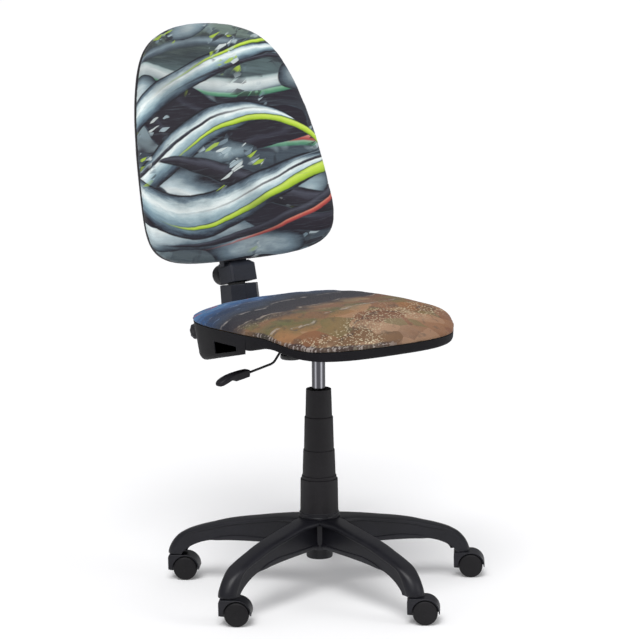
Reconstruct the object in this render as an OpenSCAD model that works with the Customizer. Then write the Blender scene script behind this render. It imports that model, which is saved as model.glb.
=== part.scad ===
// Children's swivel desk chair: five-star base on twin-wheel casters, gas lift
// with a telescopic cover, moulded seat pan, and a back on a height-adjustable
// stem. Millimetres. +Z up, the sitter looks along -Y, the origin is on the
// floor under the column.

/* [Star base and casters] */
// Turn of the star base about the column, degrees
base_turn = -1.4; // [-30:0.1:30]
// Radius from the column to each caster stem
caster_circle_r = 316.5; // [314:0.5:320]
// Half width of a leg next to the hub
leg_half_w_in = 24; // [22:0.5:26]
// Half width of a leg at its outer end
leg_half_w_out = 20; // [18:0.5:22]
// Wall thickness of the moulded legs
leg_wall = 3.2; // [2.6:0.1:4]
// Direction in which the casters trail, degrees from +X
caster_trail_dir = -41.5; // [-90:0.5:90]
// Distance of the axle behind the caster stem
caster_trail = 20; // [18:0.5:22]
// Wheel diameter
wheel_d = 50; // [49:0.5:50]
// Wheel width
wheel_w = 16.5; // [14:0.5:17]

/* [Gas lift] */
// Outer diameter of the pressure cylinder
cylinder_d = 28; // [27.9:0.1:28.1]
// Piston rod diameter
rod_d = 10; // [9:0.5:10]
// Top of the outer column tube above the floor
column_top = 320; // [312:1:324]
// Top of the uppermost cover stage, seat raised
cover_top = 424; // [420:1:428]

/* [Seat] */
// Seat width
seat_w = 486; // [470:1:500]
// Seat depth
seat_d = 466; // [450:1:480]
// Squareness of the seat outline
seat_n = 2.94; // [2.4:0.02:3.4]
// Height of the seat line, where cover and pan meet
seat_z = 570; // [568:1:574]
// Drop of the front edge
seat_drop = 23; // [15:1:28]
// Height of the cushion over the seat line
seat_crown = 33; // [28:1:40]
// Seat board thickness
board_t = 9; // [9:0.5:10]

/* [Back] */
// Width factor of the back outline
back_w = 433; // [415:1:445]
// Slanted height of the back
back_h = 503; // [480:1:520]
// Recline of the back and its bar, degrees
back_tilt = 14.9; // [14.5:0.1:15.2]
// Lean of the stem cover, degrees
cover_tilt = 9; // [8.5:0.1:9.5]
// Narrowing of the back towards its top
back_taper = 0.221; // [0.15:0.005:0.25]
// Cushion thickness
back_pad_t = 25; // [22:0.5:25]
// Radius of the curve that wraps round the sitter
back_wrap_r = 935; // [900:5:960]

/* [Controls] */
// Height knob diameter
height_knob_d = 44; // [36:1:46]
// Stem foot knob diameter
rake_knob_d = 34; // [28:1:36]
// Lever rod diameter
lever_d = 5; // [4:0.5:5]

/* [Hidden] */

$fn = 64;
plastic = [0.09, 0.09, 0.10];
dark = [0.06, 0.06, 0.065];
steel = [0.55, 0.56, 0.58];

wheel_r = wheel_d / 2;
stem_r = 5.5;
axle_r = 4;
web_half = 7.5;
hub_top = 166;
foot_z = 55.6;

// ---- shared shapes ----------------------------------------------------

// Ring or tube between two radii and two heights
module ring(r_in, r_out, z0, z1) {
    rotate_extrude() polygon([[r_in, z0], [r_out, z0], [r_out, z1], [r_in, z1]]);
}

module rod_x(r, x0, x1, y, z) {
    translate([x0, y, z]) rotate([0, 90, 0]) cylinder(r = r, h = x1 - x0);
}

// ---- star base --------------------------------------------------------

// Side outline of one leg, [distance from the column, height]
leg_side = [[30, 157], [45, 157], [134, 147], [172, 141.5], [231, 127],
    [289, 107], [308, 96.5], [320, 82], [328, 69], [332, 60], [333, foot_z],
    [299, foot_z], [288, 68], [254, 84.5], [231, 90.5], [192, 94.5], [127, 96.5], [30, 97.2]];
// Hollow under the leg, open below
leg_hollow = [[46, 152.5], [134, 143.2], [172, 137.8], [231, 123.3],
    [288, 102.5], [303, 93], [303, 50], [46, 50]];

module leg_plan(shrink) {
    polygon([[28, -leg_half_w_in + shrink], [caster_circle_r - 2, -leg_half_w_out + shrink],
        [caster_circle_r - 2, leg_half_w_out - shrink], [28, leg_half_w_in - shrink]]);
    if (shrink == 0)
        intersection() {
            translate([caster_circle_r - 4, 0]) circle(r = leg_half_w_out, $fn = 96);
            translate([caster_circle_r - 4, -40]) square([60, 80]);
        }
}

module leg() {
    difference() {
        intersection() {
            translate([0, 50, 0]) rotate([90, 0, 0]) linear_extrude(100) polygon(leg_side);
            translate([0, 0, 40]) linear_extrude(140) leg_plan(0);
        }
        difference() {
            intersection() {
                translate([0, 50, 0]) rotate([90, 0, 0]) linear_extrude(100) polygon(leg_hollow);
                translate([0, 0, 40]) linear_extrude(140) leg_plan(leg_wall);
            }
            // two cross ribs left standing inside the leg
            for (r = [120, 200]) translate([r, -30, 96]) cube([2.6, 60, 60]);
            // caster socket boss
            translate([caster_circle_r, 0, 40]) cylinder(r = 15, h = 120);
        }
    }
}

module star_base() color(plastic) difference() {
    union() {
        for (i = [0:4]) rotate([0, 0, 270 + base_turn + 72 * i]) leg();
        rotate_extrude($fn = 96) polygon([[0, 69], [25.5, 69], [26.3, 70], [27, 92], [38, 92],
            [40.5, 150], [41.25, 158], [41.25, 165], [40.3, hub_top], [0, hub_top]]);
    }
    // tapered socket for the column
    rotate_extrude($fn = 96) polygon([[0, 60], [23.7, 60], [23.7, 76], [25, hub_top],
        [25, 180], [0, 180]]);
    // caster sockets
    for (i = [0:4]) rotate([0, 0, 270 + base_turn + 72 * i])
        translate([caster_circle_r, 0, foot_z - 1]) cylinder(r = stem_r + 0.05, h = 17.2);
}

// ---- gas lift ---------------------------------------------------------

module lift_column() color(dark) rotate_extrude($fn = 96) polygon([[7, 76], [23.7, 76],
    [25, hub_top], [25, column_top], [23.5, column_top], [23.5, hub_top],
    [22.3, 79.5], [7, 79.5]]);

module guide_bush() color([0.8, 0.8, 0.76]) rotate_extrude($fn = 96) polygon([
    [cylinder_d / 2 + 0.05, 262], [23.5, 262], [23.5, column_top], [25, column_top],
    [25, column_top + 2.5], [cylinder_d / 2 + 0.05, column_top + 2.5]]);

module thrust_race_lower() color(steel) ring(7, 17, 79.5, 82);

module thrust_balls() color([0.75, 0.75, 0.78])
    for (i = [0:8]) rotate([0, 0, 40 * i]) translate([12, 0, 84]) sphere(r = 1.98, $fn = 24);

module thrust_race_upper() color(steel) ring(rod_d / 2, 17, 86, 88.5);

module buffer_ring() color([0.12, 0.12, 0.12]) ring(rod_d / 2, 13, 88.5, 105);

module rod_clip() color(steel) ring(rod_d / 2, 9, 73, 75.5);

module piston_rod() color([0.8, 0.8, 0.82]) rotate_extrude() polygon([[0, 71.5],
    [rod_d / 2, 71.5], [rod_d / 2, 290], [12.45, 290], [12.45, 302], [0, 302]]);

module gas_cylinder() color([0.85, 0.86, 0.88]) rotate_extrude($fn = 96) polygon([
    [rod_d / 2 + 0.05, 268], [cylinder_d / 2, 268], [cylinder_d / 2, 495], [13.4, 540],
    [3.05, 540], [3.05, 530], [12.5, 530], [12.5, 280], [rod_d / 2 + 0.05, 280]]);

module valve_button() color(steel) translate([0, 0, 531]) cylinder(r = 3, h = 18.5);

// Telescopic cover: [outer r, inner r, bottom, top, lip inner r, flange r]
stages = [
    [26.9, 25.7, cover_top - 72, cover_top, 17.0, 27.7],
    [29.2, 28.0, 284, 366, 27.2, 31.1],
    [32.6, 31.4, 227, 297, 29.5, 34.5],
    [36.0, 34.8, 173, 243, 32.9, 37.1],
    [38.9, 37.4, hub_top, 236, 36.3, 38.9]];

module cover_stage(s) color(plastic) rotate_extrude($fn = 96) polygon([
    [s[1], s[2]], [s[5], s[2]], [s[5], s[2] + 2], [s[0], s[2] + 2],
    [s[0], s[3] - 1], [s[0] - 0.9, s[3]], [s[4], s[3]], [s[4], s[3] - 2], [s[1], s[3] - 2]]);

module cover_stage_1() cover_stage(stages[0]);
module cover_stage_2() cover_stage(stages[1]);
module cover_stage_3() cover_stage(stages[2]);
module cover_stage_4() cover_stage(stages[3]);
module cover_stage_5() cover_stage(stages[4]);

// ---- seat -------------------------------------------------------------

seat_cy = -17;
function spow(v, e) = sign(v) * pow(abs(v), e);
function seat_outline(inset) = [for (i = [0:71]) let (t = 5 * i)
    [(seat_w / 2 - inset) * spow(cos(t), 2 / seat_n),
     seat_cy + (seat_d / 2 - inset) * spow(sin(t), 2 / seat_n)]];
function ease(q) = let (c = min(max(q, 0), 1)) c * c * (3 - 2 * c);
function seat_line(y) = seat_z - seat_drop * ease((-112 - y) / 108);
ys = concat([-290], [for (i = [10:-1:0]) -112 - 10.8 * i], [260]);

// Band that follows the seat line, between two offsets from it
module seat_band(lo, hi) translate([-300, 0, 0]) rotate([90, 0, 90]) linear_extrude(600)
    polygon(concat([for (y = ys) [y, seat_line(y) + lo]],
        [for (i = [len(ys) - 1:-1:0]) [ys[i], seat_line(ys[i]) + hi]]));

module seat_prism(inset) translate([0, 0, 440]) linear_extrude(200) polygon(seat_outline(inset));

mech_bolts = [[-60, -75], [60, -75], [-60, 75], [60, 75]];
bar_bolts = [[-12, 36], [12, 36]];
arm_holes = [for (x = [-212, 212], y = [-17, 23]) [x, y]];
pan_fix = [[-150, 130], [150, 130], [-150, -170], [150, -170]];
// lowest outer face of the pan: shallow in front and in the middle, with a
// deep pod on each side towards the rear
function pan_floor(y) = y < -76 ? seat_line(y) - 19
    : max(489, 534 - (y + 76) * 45 / 198);

module seat_board() color([0.72, 0.56, 0.38]) difference() {
    intersection() {
        seat_prism(6);
        seat_band(-board_t, 0);
    }
    for (p = mech_bolts) translate([p[0], p[1], 0]) {
        translate([0, 0, 550]) cylinder(r = 4.5, h = 40);
        translate([0, 0, seat_z - 1.2]) cylinder(r = 10, h = 10);
    }
    for (p = arm_holes) translate([p[0], p[1], 550]) cylinder(r = 3.2, h = 40);
    for (p = pan_fix) translate([p[0], p[1], seat_line(p[1]) - board_t - 3]) cylinder(r = 2, h = 9);
}

module seat_tee_nuts() color(steel) for (p = mech_bolts) translate([p[0], p[1], 0])
    rotate_extrude() polygon([[3, 561], [4.5, 561], [4.5, seat_z - 1.2], [10, seat_z - 1.2],
        [10, seat_z], [3, seat_z]]);

// Height of the cushion over the seat line, front to rear
function crown_at(y) = 6 + (seat_crown - 6)
    * pow(max(0, 1 - pow(abs(y - seat_cy) / (seat_d / 2), 2.6)), 0.6);
crown_r = 1107;
crown_ys = [for (i = [0:32]) seat_cy - seat_d / 2 * cos(180 * i / 32)];

module seat_pad() color([0.55, 0.42, 0.27]) intersection() {
    seat_prism(0);
    translate([-300, 0, 0]) rotate([90, 0, 90]) linear_extrude(600) polygon(concat(
        [for (y = ys) [y, seat_line(y)]], [[260, seat_z + 6]],
        [for (i = [32:-1:0]) [crown_ys[i], seat_line(crown_ys[i]) + crown_at(crown_ys[i])]],
        [[-290, seat_z - seat_drop + 6]]));
    translate([0, 300, seat_z + seat_crown - crown_r]) rotate([90, 0, 0])
        cylinder(r = crown_r, h = 600, $fn = 720);
}

// inner boundary of a pod: it runs from the side wall inwards to the rear
pod_slope = 1.35;
function pod_y(x) = -76 + pod_slope * (242 - x);

module pan_body(inset, lift, top) intersection() {
    seat_prism(inset);
    union() {
        translate([-300, 0, 0]) rotate([90, 0, 90]) linear_extrude(600) polygon(concat(
            [for (y = [-290, -220, -204, -188, -172, -156, -140, -124, -112, 260])
                [y, seat_line(y) - 19 + lift]],
            [for (i = [len(ys) - 1:-1:0]) [ys[i], seat_line(ys[i]) + top]]));
        intersection() {
            translate([-300, 0, 0]) rotate([90, 0, 90]) linear_extrude(600) polygon([
                [-121, 544.22 + lift], [122, 489 + lift], [260, 489 + lift],
                [260, 555 + lift], [-121, 555 + lift]]);
            translate([0, 0, 440]) linear_extrude(200) for (s = [-1, 1]) polygon([
                [s * 275, pod_y(275) + lift * 1.68], [s * 275, 240],
                [s * (242 - (316 - lift * 1.68) / pod_slope), 240]]);
        }
    }
}

module seat_pan() color(plastic) difference() {
    union() {
        difference() {
            pan_body(1, 0, -0.3);
            pan_body(4, 3, 5);
        }
        // ledge under the edge of the board
        difference() {
            intersection() {
                seat_prism(3.5);
                seat_band(-board_t - 3, -board_t);
            }
            translate([0, 0, 400]) linear_extrude(300) polygon(seat_outline(15));
        }
        // screw posts
        for (p = pan_fix) translate([p[0], p[1], pan_floor(p[1]) + 1])
            cylinder(r = 6.5, h = seat_line(p[1]) - board_t - pan_floor(p[1]) - 1
                - (p[1] < 0 ? 2.4 : 0));
    }
    // opening for the mechanism
    translate([-77, -92, 470]) cube([154, 184, 120]);
    // armrest slots in both pods
    for (s = [-1, 1]) translate([s * 245 - 18, 0, 0]) rotate([90, 0, 90]) linear_extrude(36)
        polygon([[-42, 535], [-42, 544], [38, 544], [38, 517.5]]);
    for (p = pan_fix) translate([p[0], p[1], pan_floor(p[1]) - 1]) {
        cylinder(r = 2.2, h = 90);
        cylinder(r = 4.6, h = p[1] < 0 ? 3 : 40);
    }
}

module pan_screws() color(steel) for (p = pan_fix) let (zb = seat_line(p[1]) - board_t,
        zh = p[1] < 0 ? pan_floor(p[1]) + 2 : pan_floor(p[1]) + 39)
    translate([p[0], p[1], 0]) {
        translate([0, 0, zh - 2.2]) cylinder(r = 4, h = 2.2);
        translate([0, 0, zh]) cylinder(r = 2, h = zb + 6 - zh);
    }

// ---- mechanism --------------------------------------------------------

module rounded_block(hx, hy, r, z0, z1) translate([0, 0, z0]) union() {
    translate([-hx + r, -hy, 0]) cube([2 * hx - 2 * r, 2 * hy, z1 - z0]);
    translate([-hx, -hy + r, 0]) cube([2 * hx, 2 * hy - 2 * r, z1 - z0]);
    for (x = [-1, 1], y = [-1, 1]) translate([x * (hx - r), y * (hy - r), 0])
        cylinder(r = r, h = z1 - z0);
}

module mechanism_housing() color(dark) difference() {
    union() {
        difference() {
            union() {
                rounded_block(60, 50, 14, 495, 559);
                intersection() {
                    rounded_block(60, 50, 14, 482, 500);
                    translate([-70, -60, 470]) cube([40, 120, 40]);
                }
            }
            rounded_block(57.5, 47.5, 11.5, 497.5, 575);
            intersection() {
                rounded_block(57.5, 47.5, 11.5, 484.5, 520);
                translate([-70, -60, 470]) cube([37.5, 120, 60]);
            }
        }
        difference() {
            translate([-75, -90, 558.5]) cube([150, 180, 2.5]);
            rounded_block(57.5, 47.5, 11.5, 550, 575);
        }
        // column socket
        translate([0, 0, 496]) cylinder(r = 18, h = 44);
        // lever ears
        for (s = [-1, 1]) translate([-51, s * 8.2 - 1.5, 483.5]) cube([12, 3, 49.5]);
    }
    rotate_extrude($fn = 96) polygon([[0, 480], [14, 480], [14, 495], [13.4, 540], [13.4, 580], [0, 580]]);
    // lever slot, lever pivot bores, bar slot, bolt holes
    translate([-64, -6.5, 505]) cube([8, 13, 30]);
    translate([-45, -12, 526]) rotate([-90, 0, 0]) cylinder(r = 3.05, h = 24);
    translate([-20.2, 44, 497.5]) cube([40.4, 10, 8.2]);
    for (p = mech_bolts) translate([p[0], p[1], 550]) cylinder(r = 3.3, h = 20);
    for (p = bar_bolts) translate([p[0], p[1], 490]) cylinder(r = 3.3, h = 8);
}

module hex_bolt(z) {
    translate([0, 0, z - 4]) cylinder(r = 5.8, h = 4, $fn = 6);
    translate([0, 0, z]) cylinder(r = 3, h = 10.4);
}

module mechanism_bolts() color(steel) {
    for (p = mech_bolts) translate([p[0], p[1], 0]) hex_bolt(558.5);
    for (p = bar_bolts) translate([p[0], p[1], 0]) hex_bolt(495);
}

// ---- lever ------------------------------------------------------------

// Bends of the lever rod, [x, z]
lever_path = [[3, 552.6], [-24, 551], [-45, 526], [-60, 521], [-96, 513.5],
    [-115.5, 490.3], [-196, 474.6]];

module lever_rod() color(dark) {
    for (i = [0:len(lever_path) - 2]) let (a = lever_path[i], b = lever_path[i + 1],
            l = norm([b[0] - a[0], b[1] - a[1]]), t = atan2(b[0] - a[0], b[1] - a[1]))
        translate([a[0], 0, a[1]]) rotate([0, t, 0]) cylinder(r = lever_d / 2, h = l);
    for (i = [1:len(lever_path) - 2]) translate([lever_path[i][0], 0, lever_path[i][1]])
        rotate([90, 0, 0]) cylinder(r = lever_d / 2 + 0.3, h = lever_d + 0.6, center = true);
    translate([-45, -11.5, 526]) rotate([-90, 0, 0]) cylinder(r = 3, h = 23);
}

module lever_handle() color(plastic) difference() {
    intersection() {
        translate([0, 30, 0]) rotate([90, 0, 0]) linear_extrude(60) polygon([
            [-179.5, 485], [-190, 485.6], [-199, 484.4], [-218.5, 481.9], [-239, 476.6], [-250, 471.3],
            [-256.5, 465], [-255.5, 461], [-250, 459], [-240, 461.8], [-230, 466], [-221.5, 469],
            [-214.6, 465.5], [-196, 468.5], [-179.5, 471.1]]);
        translate([0, 0, 440]) linear_extrude(60) union() {
            polygon([[-179.5, -7.5], [-179.5, 7.5], [-200, 9], [-225, 11], [-245, 12],
                [-245, -12], [-225, -11], [-200, -9]]);
            intersection() {
                translate([-244.7, 0]) circle(r = 12);
                translate([-280, -20]) square([36, 40]);
            }
        }
    }
    // socket on the rod
    let (a = lever_path[5], b = lever_path[6], l = norm([b[0] - a[0], b[1] - a[1]]),
            t = atan2(b[0] - a[0], b[1] - a[1]))
        translate([a[0], 0, a[1]]) rotate([0, t, 0]) cylinder(r = lever_d / 2, h = l);
}

// ---- back stem --------------------------------------------------------

back_y = 254;
back_z = 666;
bar_n = 40.8;
bar_t = 8;
bar_w = 40;
bar_top_v = 135;
// Local frame of the back: x across, y rearwards, z up along its slope
module back_frame() translate([0, back_y, back_z]) rotate([-back_tilt, 0, 0]) children();

function slope_pt(n, v) = [back_y + v * sin(back_tilt) + n * cos(back_tilt),
    back_z + v * cos(back_tilt) - n * sin(back_tilt)];
bar_z = 501.5;
bend_r = 30;
bend_a = 90 - back_tilt;
// where the level part meets the sloping part
bar_corner = let (p = slope_pt(bar_n, 0)) p[0] + (bar_z - p[1]) * tan(back_tilt);
bend_c = [bar_corner - bend_r * tan(bend_a / 2), bar_z + bend_r];

module back_bar() color(dark) difference() {
    translate([-bar_w / 2, 0, 0]) rotate([90, 0, 90]) linear_extrude(bar_w) polygon(concat(
        [[21, bar_z - bar_t / 2]],
        [for (i = [0:8]) let (f = bend_a * i / 8, r = bend_r + bar_t / 2)
            [bend_c[0] + r * sin(f), bend_c[1] - r * cos(f)]],
        [slope_pt(bar_n + bar_t / 2, bar_top_v), slope_pt(bar_n - bar_t / 2, bar_top_v)],
        [for (i = [8:-1:0]) let (f = bend_a * i / 8, r = bend_r - bar_t / 2)
            [bend_c[0] + r * sin(f), bend_c[1] - r * cos(f)]],
        [[21, bar_z + bar_t / 2]]));
    for (p = bar_bolts) translate([p[0], p[1], 490]) cylinder(r = 3, h = 30);
}

// Local frame of the stem cover, on its front face
module cover_frame() translate([0, 228.3, 600]) rotate([-cover_tilt, 0, 0]) children();

// Eight-sided section of the cover, thinner by inset all round
module cover_section(inset) let (w = 38 - inset, d = 67 - inset, c = 22 + 0.42 * inset)
    polygon([[-w, c], [-w + c - inset, inset], [w - c + inset, inset], [w, c],
        [w, d - 4 + inset / 2], [w - 4 + inset / 2, d], [-w + 4 - inset / 2, d], [-w, d - 4 + inset / 2]]);

knob_y = 270;
knob_z = 520.5;
cover_v = 16;

module stem_cover() color(plastic) difference() {
    union() {
        difference() {
            intersection() {
                cover_frame() translate([0, 0, cover_v - 145]) linear_extrude(145) cover_section(0);
                translate([-100, 219, 491]) cube([200, 160, 160]);
            }
            intersection() {
                cover_frame() translate([0, 0, cover_v - 160]) linear_extrude(157) cover_section(3);
                translate([-100, 222, 480]) cube([200, 160, 170]);
            }
        }
        rod_x(8, -37.5, -25, knob_y, knob_z);
    }
    // way of the bar through the cover's top and front
    back_frame() translate([-bar_w / 2 - 0.1, bar_n - bar_t / 2 - 0.1, -80])
        cube([bar_w + 0.2, bar_t + 0.2, 60]);
    translate([-21, 200, 485]) cube([42, 50, 30]);
    rod_x(4.05, -45, -20, knob_y, knob_z);
}

module rake_knob() color(dark) translate([-38.4, knob_y, knob_z]) rotate([0, -90, 0])
    rotate_extrude() polygon([[0, -14], [4, -14], [4, 0], [7.5, 0], [9, 45], [rake_knob_d / 2 - 2, 60],
        [rake_knob_d / 2, 64], [rake_knob_d / 2, 80], [rake_knob_d / 2 - 2, 83], [0, 83]]);

// ---- back -------------------------------------------------------------

function back_outline(inset) = [for (i = [0:71]) let (t = 5 * i, e = 2 / 4.47,
        v = spow(sin(t), e), x = spow(cos(t), e))
    [(back_w / 2 * (1 - back_taper * v - 0.078 * (v * v - 0.33)) - inset) * x,
     back_h / 2 + (back_h / 2 - inset) * v]];

// Plate of the back's outline between two rearward distances
module back_slab(inset, n0, n1) translate([0, n1, 0]) rotate([90, 0, 0])
    linear_extrude(n1 - n0) polygon(back_outline(inset));

module wrap_cyl(r) translate([0, -back_wrap_r, -40]) cylinder(r = r, h = 600, $fn = 360);
rear_r = 577;
module rear_cyl(r) translate([0, 58 - rear_r, -40]) cylinder(r = r, h = 600, $fn = 360);

module back_pad() color([0.62, 0.68, 0.70]) back_frame() difference() {
    intersection() {
        back_slab(0, -60, 60);
        wrap_cyl(back_wrap_r + back_pad_t);
    }
    wrap_cyl(back_wrap_r);
}

bracket_fix = [[-25.2, 20], [25.2, 20], [-25.2, 60], [25.2, 60]];

module back_board() color([0.72, 0.56, 0.38]) back_frame() difference() {
    intersection() {
        back_slab(5, -60, 60);
        wrap_cyl(back_wrap_r + back_pad_t + 7);
    }
    wrap_cyl(back_wrap_r + back_pad_t);
    for (p = bracket_fix) translate([p[0], 20, p[1]]) rotate([-90, 0, 0]) cylinder(r = 2.5, h = 20);
}

module back_shell() color(plastic) back_frame() difference() {
    intersection() {
        back_slab(1, -60, 70);
        rear_cyl(rear_r);
    }
    wrap_cyl(back_wrap_r + back_pad_t + 0.3);
    intersection() {
        back_slab(4, -60, 70);
        rear_cyl(rear_r - 3);
    }
    // mouth for the bracket
    translate([-36, 20, -5]) cube([72, 60, 20]);
}

bracket_v = -46;

module back_bracket() color(dark) back_frame() difference() {
    union() {
        intersection() {
            translate([0, 0, bracket_v]) linear_extrude(-1.5 - bracket_v) polygon([[-26, 7.7], [26, 7.7],
                [31, 12.7], [34, 51], [16, 70.8], [-16, 70.8], [-34, 51], [-31, 12.7]]);
            // bevels along the upper edges
            translate([0, 80, 0]) rotate([90, 0, 0]) linear_extrude(80) polygon([[-36, bracket_v],
                [36, bracket_v], [36, -15], [22, -1.5], [-22, -1.5], [-36, -15]]);
            translate([-40, 0, 0]) rotate([90, 0, 90]) linear_extrude(80) polygon([[7, bracket_v],
                [72, bracket_v], [72, -1.5], [20, -1.5], [7, -14.5]]);
        }
        translate([-30, 32.2, -12]) cube([60, 17.8, 87]);
    }
    translate([-bar_w / 2 - 0.3, bar_n - bar_t / 2 - 0.3, -60]) cube([bar_w + 0.6, bar_t + 0.6, 150]);
    translate([0, 40, -23]) rotate([-90, 0, 0]) cylinder(r = 4.05, h = 50);
    for (p = bracket_fix) translate([p[0], 30, p[1]]) rotate([-90, 0, 0]) cylinder(r = 2.6, h = 30);
}

module bracket_screws() color(steel) back_frame() for (p = bracket_fix)
    translate([p[0], 0, p[1]]) rotate([-90, 0, 0]) {
        translate([0, 0, 26.5]) cylinder(r = 2.5, h = 24);
        translate([0, 0, 50]) cylinder(r = 4.2, h = 2.6);
    }

module height_stud() color(steel) back_frame() translate([0, bar_n + bar_t / 2 + 0.35, -23])
    rotate([-90, 0, 0]) cylinder(r = 4, h = 43);

module height_knob() color(dark) back_frame() translate([0, 0, -23]) rotate([-90, 0, 0])
    rotate_extrude() polygon([[4, 76], [10, 76], [11, 80], [height_knob_d / 2 - 3, 81],
        [height_knob_d / 2, 84], [height_knob_d / 2, 94], [height_knob_d / 2 - 3, 97], [0, 98],
        [0, 88.15], [4, 88.15]]);

// ---- casters ----------------------------------------------------------

module at_caster(i) rotate([0, 0, 270 + base_turn + 72 * (i - 1)]) translate([caster_circle_r, 0, 0])
    rotate([0, 0, caster_trail_dir - (270 + base_turn + 72 * (i - 1))]) children();

module caster_stem(i) color(steel) at_caster(i) translate([0, 0, 18]) cylinder(r = stem_r, h = 53);

module hood_outline() difference() {
    union() {
        translate([caster_trail, wheel_r]) circle(r = 29.2, $fn = 96);
        translate([-16, 22]) square([36, 26.2]);
        translate([-10, 22]) square([30, 32.2]);
        translate([-10, 48.2]) circle(r = 6);
    }
    translate([caster_trail - 40, -10]) square([60, 32]);
    translate([caster_trail, -10]) square([60, 35]);
}

module caster_hood(i) color(plastic) at_caster(i) difference() {
    union() {
        translate([0, 24.2, 0]) rotate([90, 0, 0]) linear_extrude(48.4) difference() {
            hood_outline();
            translate([caster_trail, wheel_r]) circle(r = 26.8, $fn = 96);
        }
        translate([0, web_half, 0]) rotate([90, 0, 0]) linear_extrude(2 * web_half) union() {
            hood_outline();
            translate([caster_trail, wheel_r]) circle(r = 10);
            translate([-10, 14]) square([30, 20]);
        }
    }
    translate([0, 0, 18]) cylinder(r = stem_r, h = 60);
    translate([caster_trail, 40, wheel_r]) rotate([90, 0, 0]) cylinder(r = axle_r, h = 80);
}

module caster_axle(i) color(steel) at_caster(i)
    translate([caster_trail, 22.5, wheel_r]) rotate([90, 0, 0]) cylinder(r = axle_r, h = 45);

// Wheel on the side s of the hood web, with a closed domed outer face
module caster_wheel(i, s) color(dark) at_caster(i) translate([caster_trail, 0, wheel_r])
    rotate([-90 * s, 0, 0]) translate([0, 0, web_half + 0.6]) rotate_extrude($fn = 96) polygon([
        [axle_r + 0.06, 0], [wheel_r - 1.5, 0], [wheel_r, 1.5], [wheel_r, wheel_w - 3],
        [wheel_r - 1, wheel_w - 1], [wheel_r - 3, wheel_w], [wheel_r - 10, wheel_w + 1.6],
        [0, wheel_w + 2.2], [0, wheel_w - 1.2], [axle_r + 0.06, wheel_w - 1.2]]);

module caster_1_stem() caster_stem(1);
module caster_1_hood() caster_hood(1);
module caster_1_axle() caster_axle(1);
module caster_1_wheel_a() caster_wheel(1, 1);
module caster_1_wheel_b() caster_wheel(1, -1);
module caster_2_stem() caster_stem(2);
module caster_2_hood() caster_hood(2);
module caster_2_axle() caster_axle(2);
module caster_2_wheel_a() caster_wheel(2, 1);
module caster_2_wheel_b() caster_wheel(2, -1);
module caster_3_stem() caster_stem(3);
module caster_3_hood() caster_hood(3);
module caster_3_axle() caster_axle(3);
module caster_3_wheel_a() caster_wheel(3, 1);
module caster_3_wheel_b() caster_wheel(3, -1);
module caster_4_stem() caster_stem(4);
module caster_4_hood() caster_hood(4);
module caster_4_axle() caster_axle(4);
module caster_4_wheel_a() caster_wheel(4, 1);
module caster_4_wheel_b() caster_wheel(4, -1);
module caster_5_stem() caster_stem(5);
module caster_5_hood() caster_hood(5);
module caster_5_axle() caster_axle(5);
module caster_5_wheel_a() caster_wheel(5, 1);
module caster_5_wheel_b() caster_wheel(5, -1);

star_base();
lift_column();
guide_bush();
thrust_race_lower();
thrust_balls();
cover_stage_5();
piston_rod();
thrust_race_upper();
buffer_ring();
rod_clip();
cover_stage_1();
cover_stage_2();
cover_stage_3();
cover_stage_4();
gas_cylinder();
mechanism_housing();
mechanism_bolts();
seat_board();
seat_tee_nuts();
seat_pad();
seat_pan();
pan_screws();
back_bar();
stem_cover();
valve_button();
lever_rod();
lever_handle();
rake_knob();
back_bracket();
back_board();
back_pad();
back_shell();
bracket_screws();
height_knob();
height_stud();
caster_1_stem();
caster_1_hood();
caster_1_axle();
caster_1_wheel_a();
caster_1_wheel_b();
caster_2_stem();
caster_2_hood();
caster_2_axle();
caster_2_wheel_a();
caster_2_wheel_b();
caster_3_stem();
caster_3_hood();
caster_3_axle();
caster_3_wheel_a();
caster_3_wheel_b();
caster_4_stem();
caster_4_hood();
caster_4_axle();
caster_4_wheel_a();
caster_4_wheel_b();
caster_5_stem();
caster_5_hood();
caster_5_axle();
caster_5_wheel_a();
caster_5_wheel_b();
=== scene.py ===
import math

import bmesh
import bpy
import numpy as np
from mathutils import Matrix, Vector


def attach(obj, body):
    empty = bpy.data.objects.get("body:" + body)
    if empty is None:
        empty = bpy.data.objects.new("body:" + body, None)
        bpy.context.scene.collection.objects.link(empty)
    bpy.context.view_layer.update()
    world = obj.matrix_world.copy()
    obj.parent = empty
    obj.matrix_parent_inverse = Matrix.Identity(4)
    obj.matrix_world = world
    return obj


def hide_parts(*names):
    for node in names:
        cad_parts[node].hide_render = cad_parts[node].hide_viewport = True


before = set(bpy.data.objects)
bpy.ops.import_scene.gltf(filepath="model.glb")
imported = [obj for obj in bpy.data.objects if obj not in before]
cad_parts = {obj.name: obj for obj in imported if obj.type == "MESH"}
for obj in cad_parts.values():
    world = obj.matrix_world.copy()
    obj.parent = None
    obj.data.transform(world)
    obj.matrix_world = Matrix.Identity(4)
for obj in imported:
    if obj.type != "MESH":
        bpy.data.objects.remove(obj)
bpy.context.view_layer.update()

scene = bpy.context.scene
MM = 0.001
rad = math.radians


# ---------------------------------------------------------------- small tools

def lerp(a, b, t):
    return a + (b - a) * t


def clamp(v, a=0.0, b=1.0):
    return max(a, min(b, v))


def smooth(a, b, v):
    c = clamp((v - a) / (b - a))
    return c * c * (3 - 2 * c)


def spow(v, e):
    return math.copysign(abs(v) ** e, v)


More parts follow.
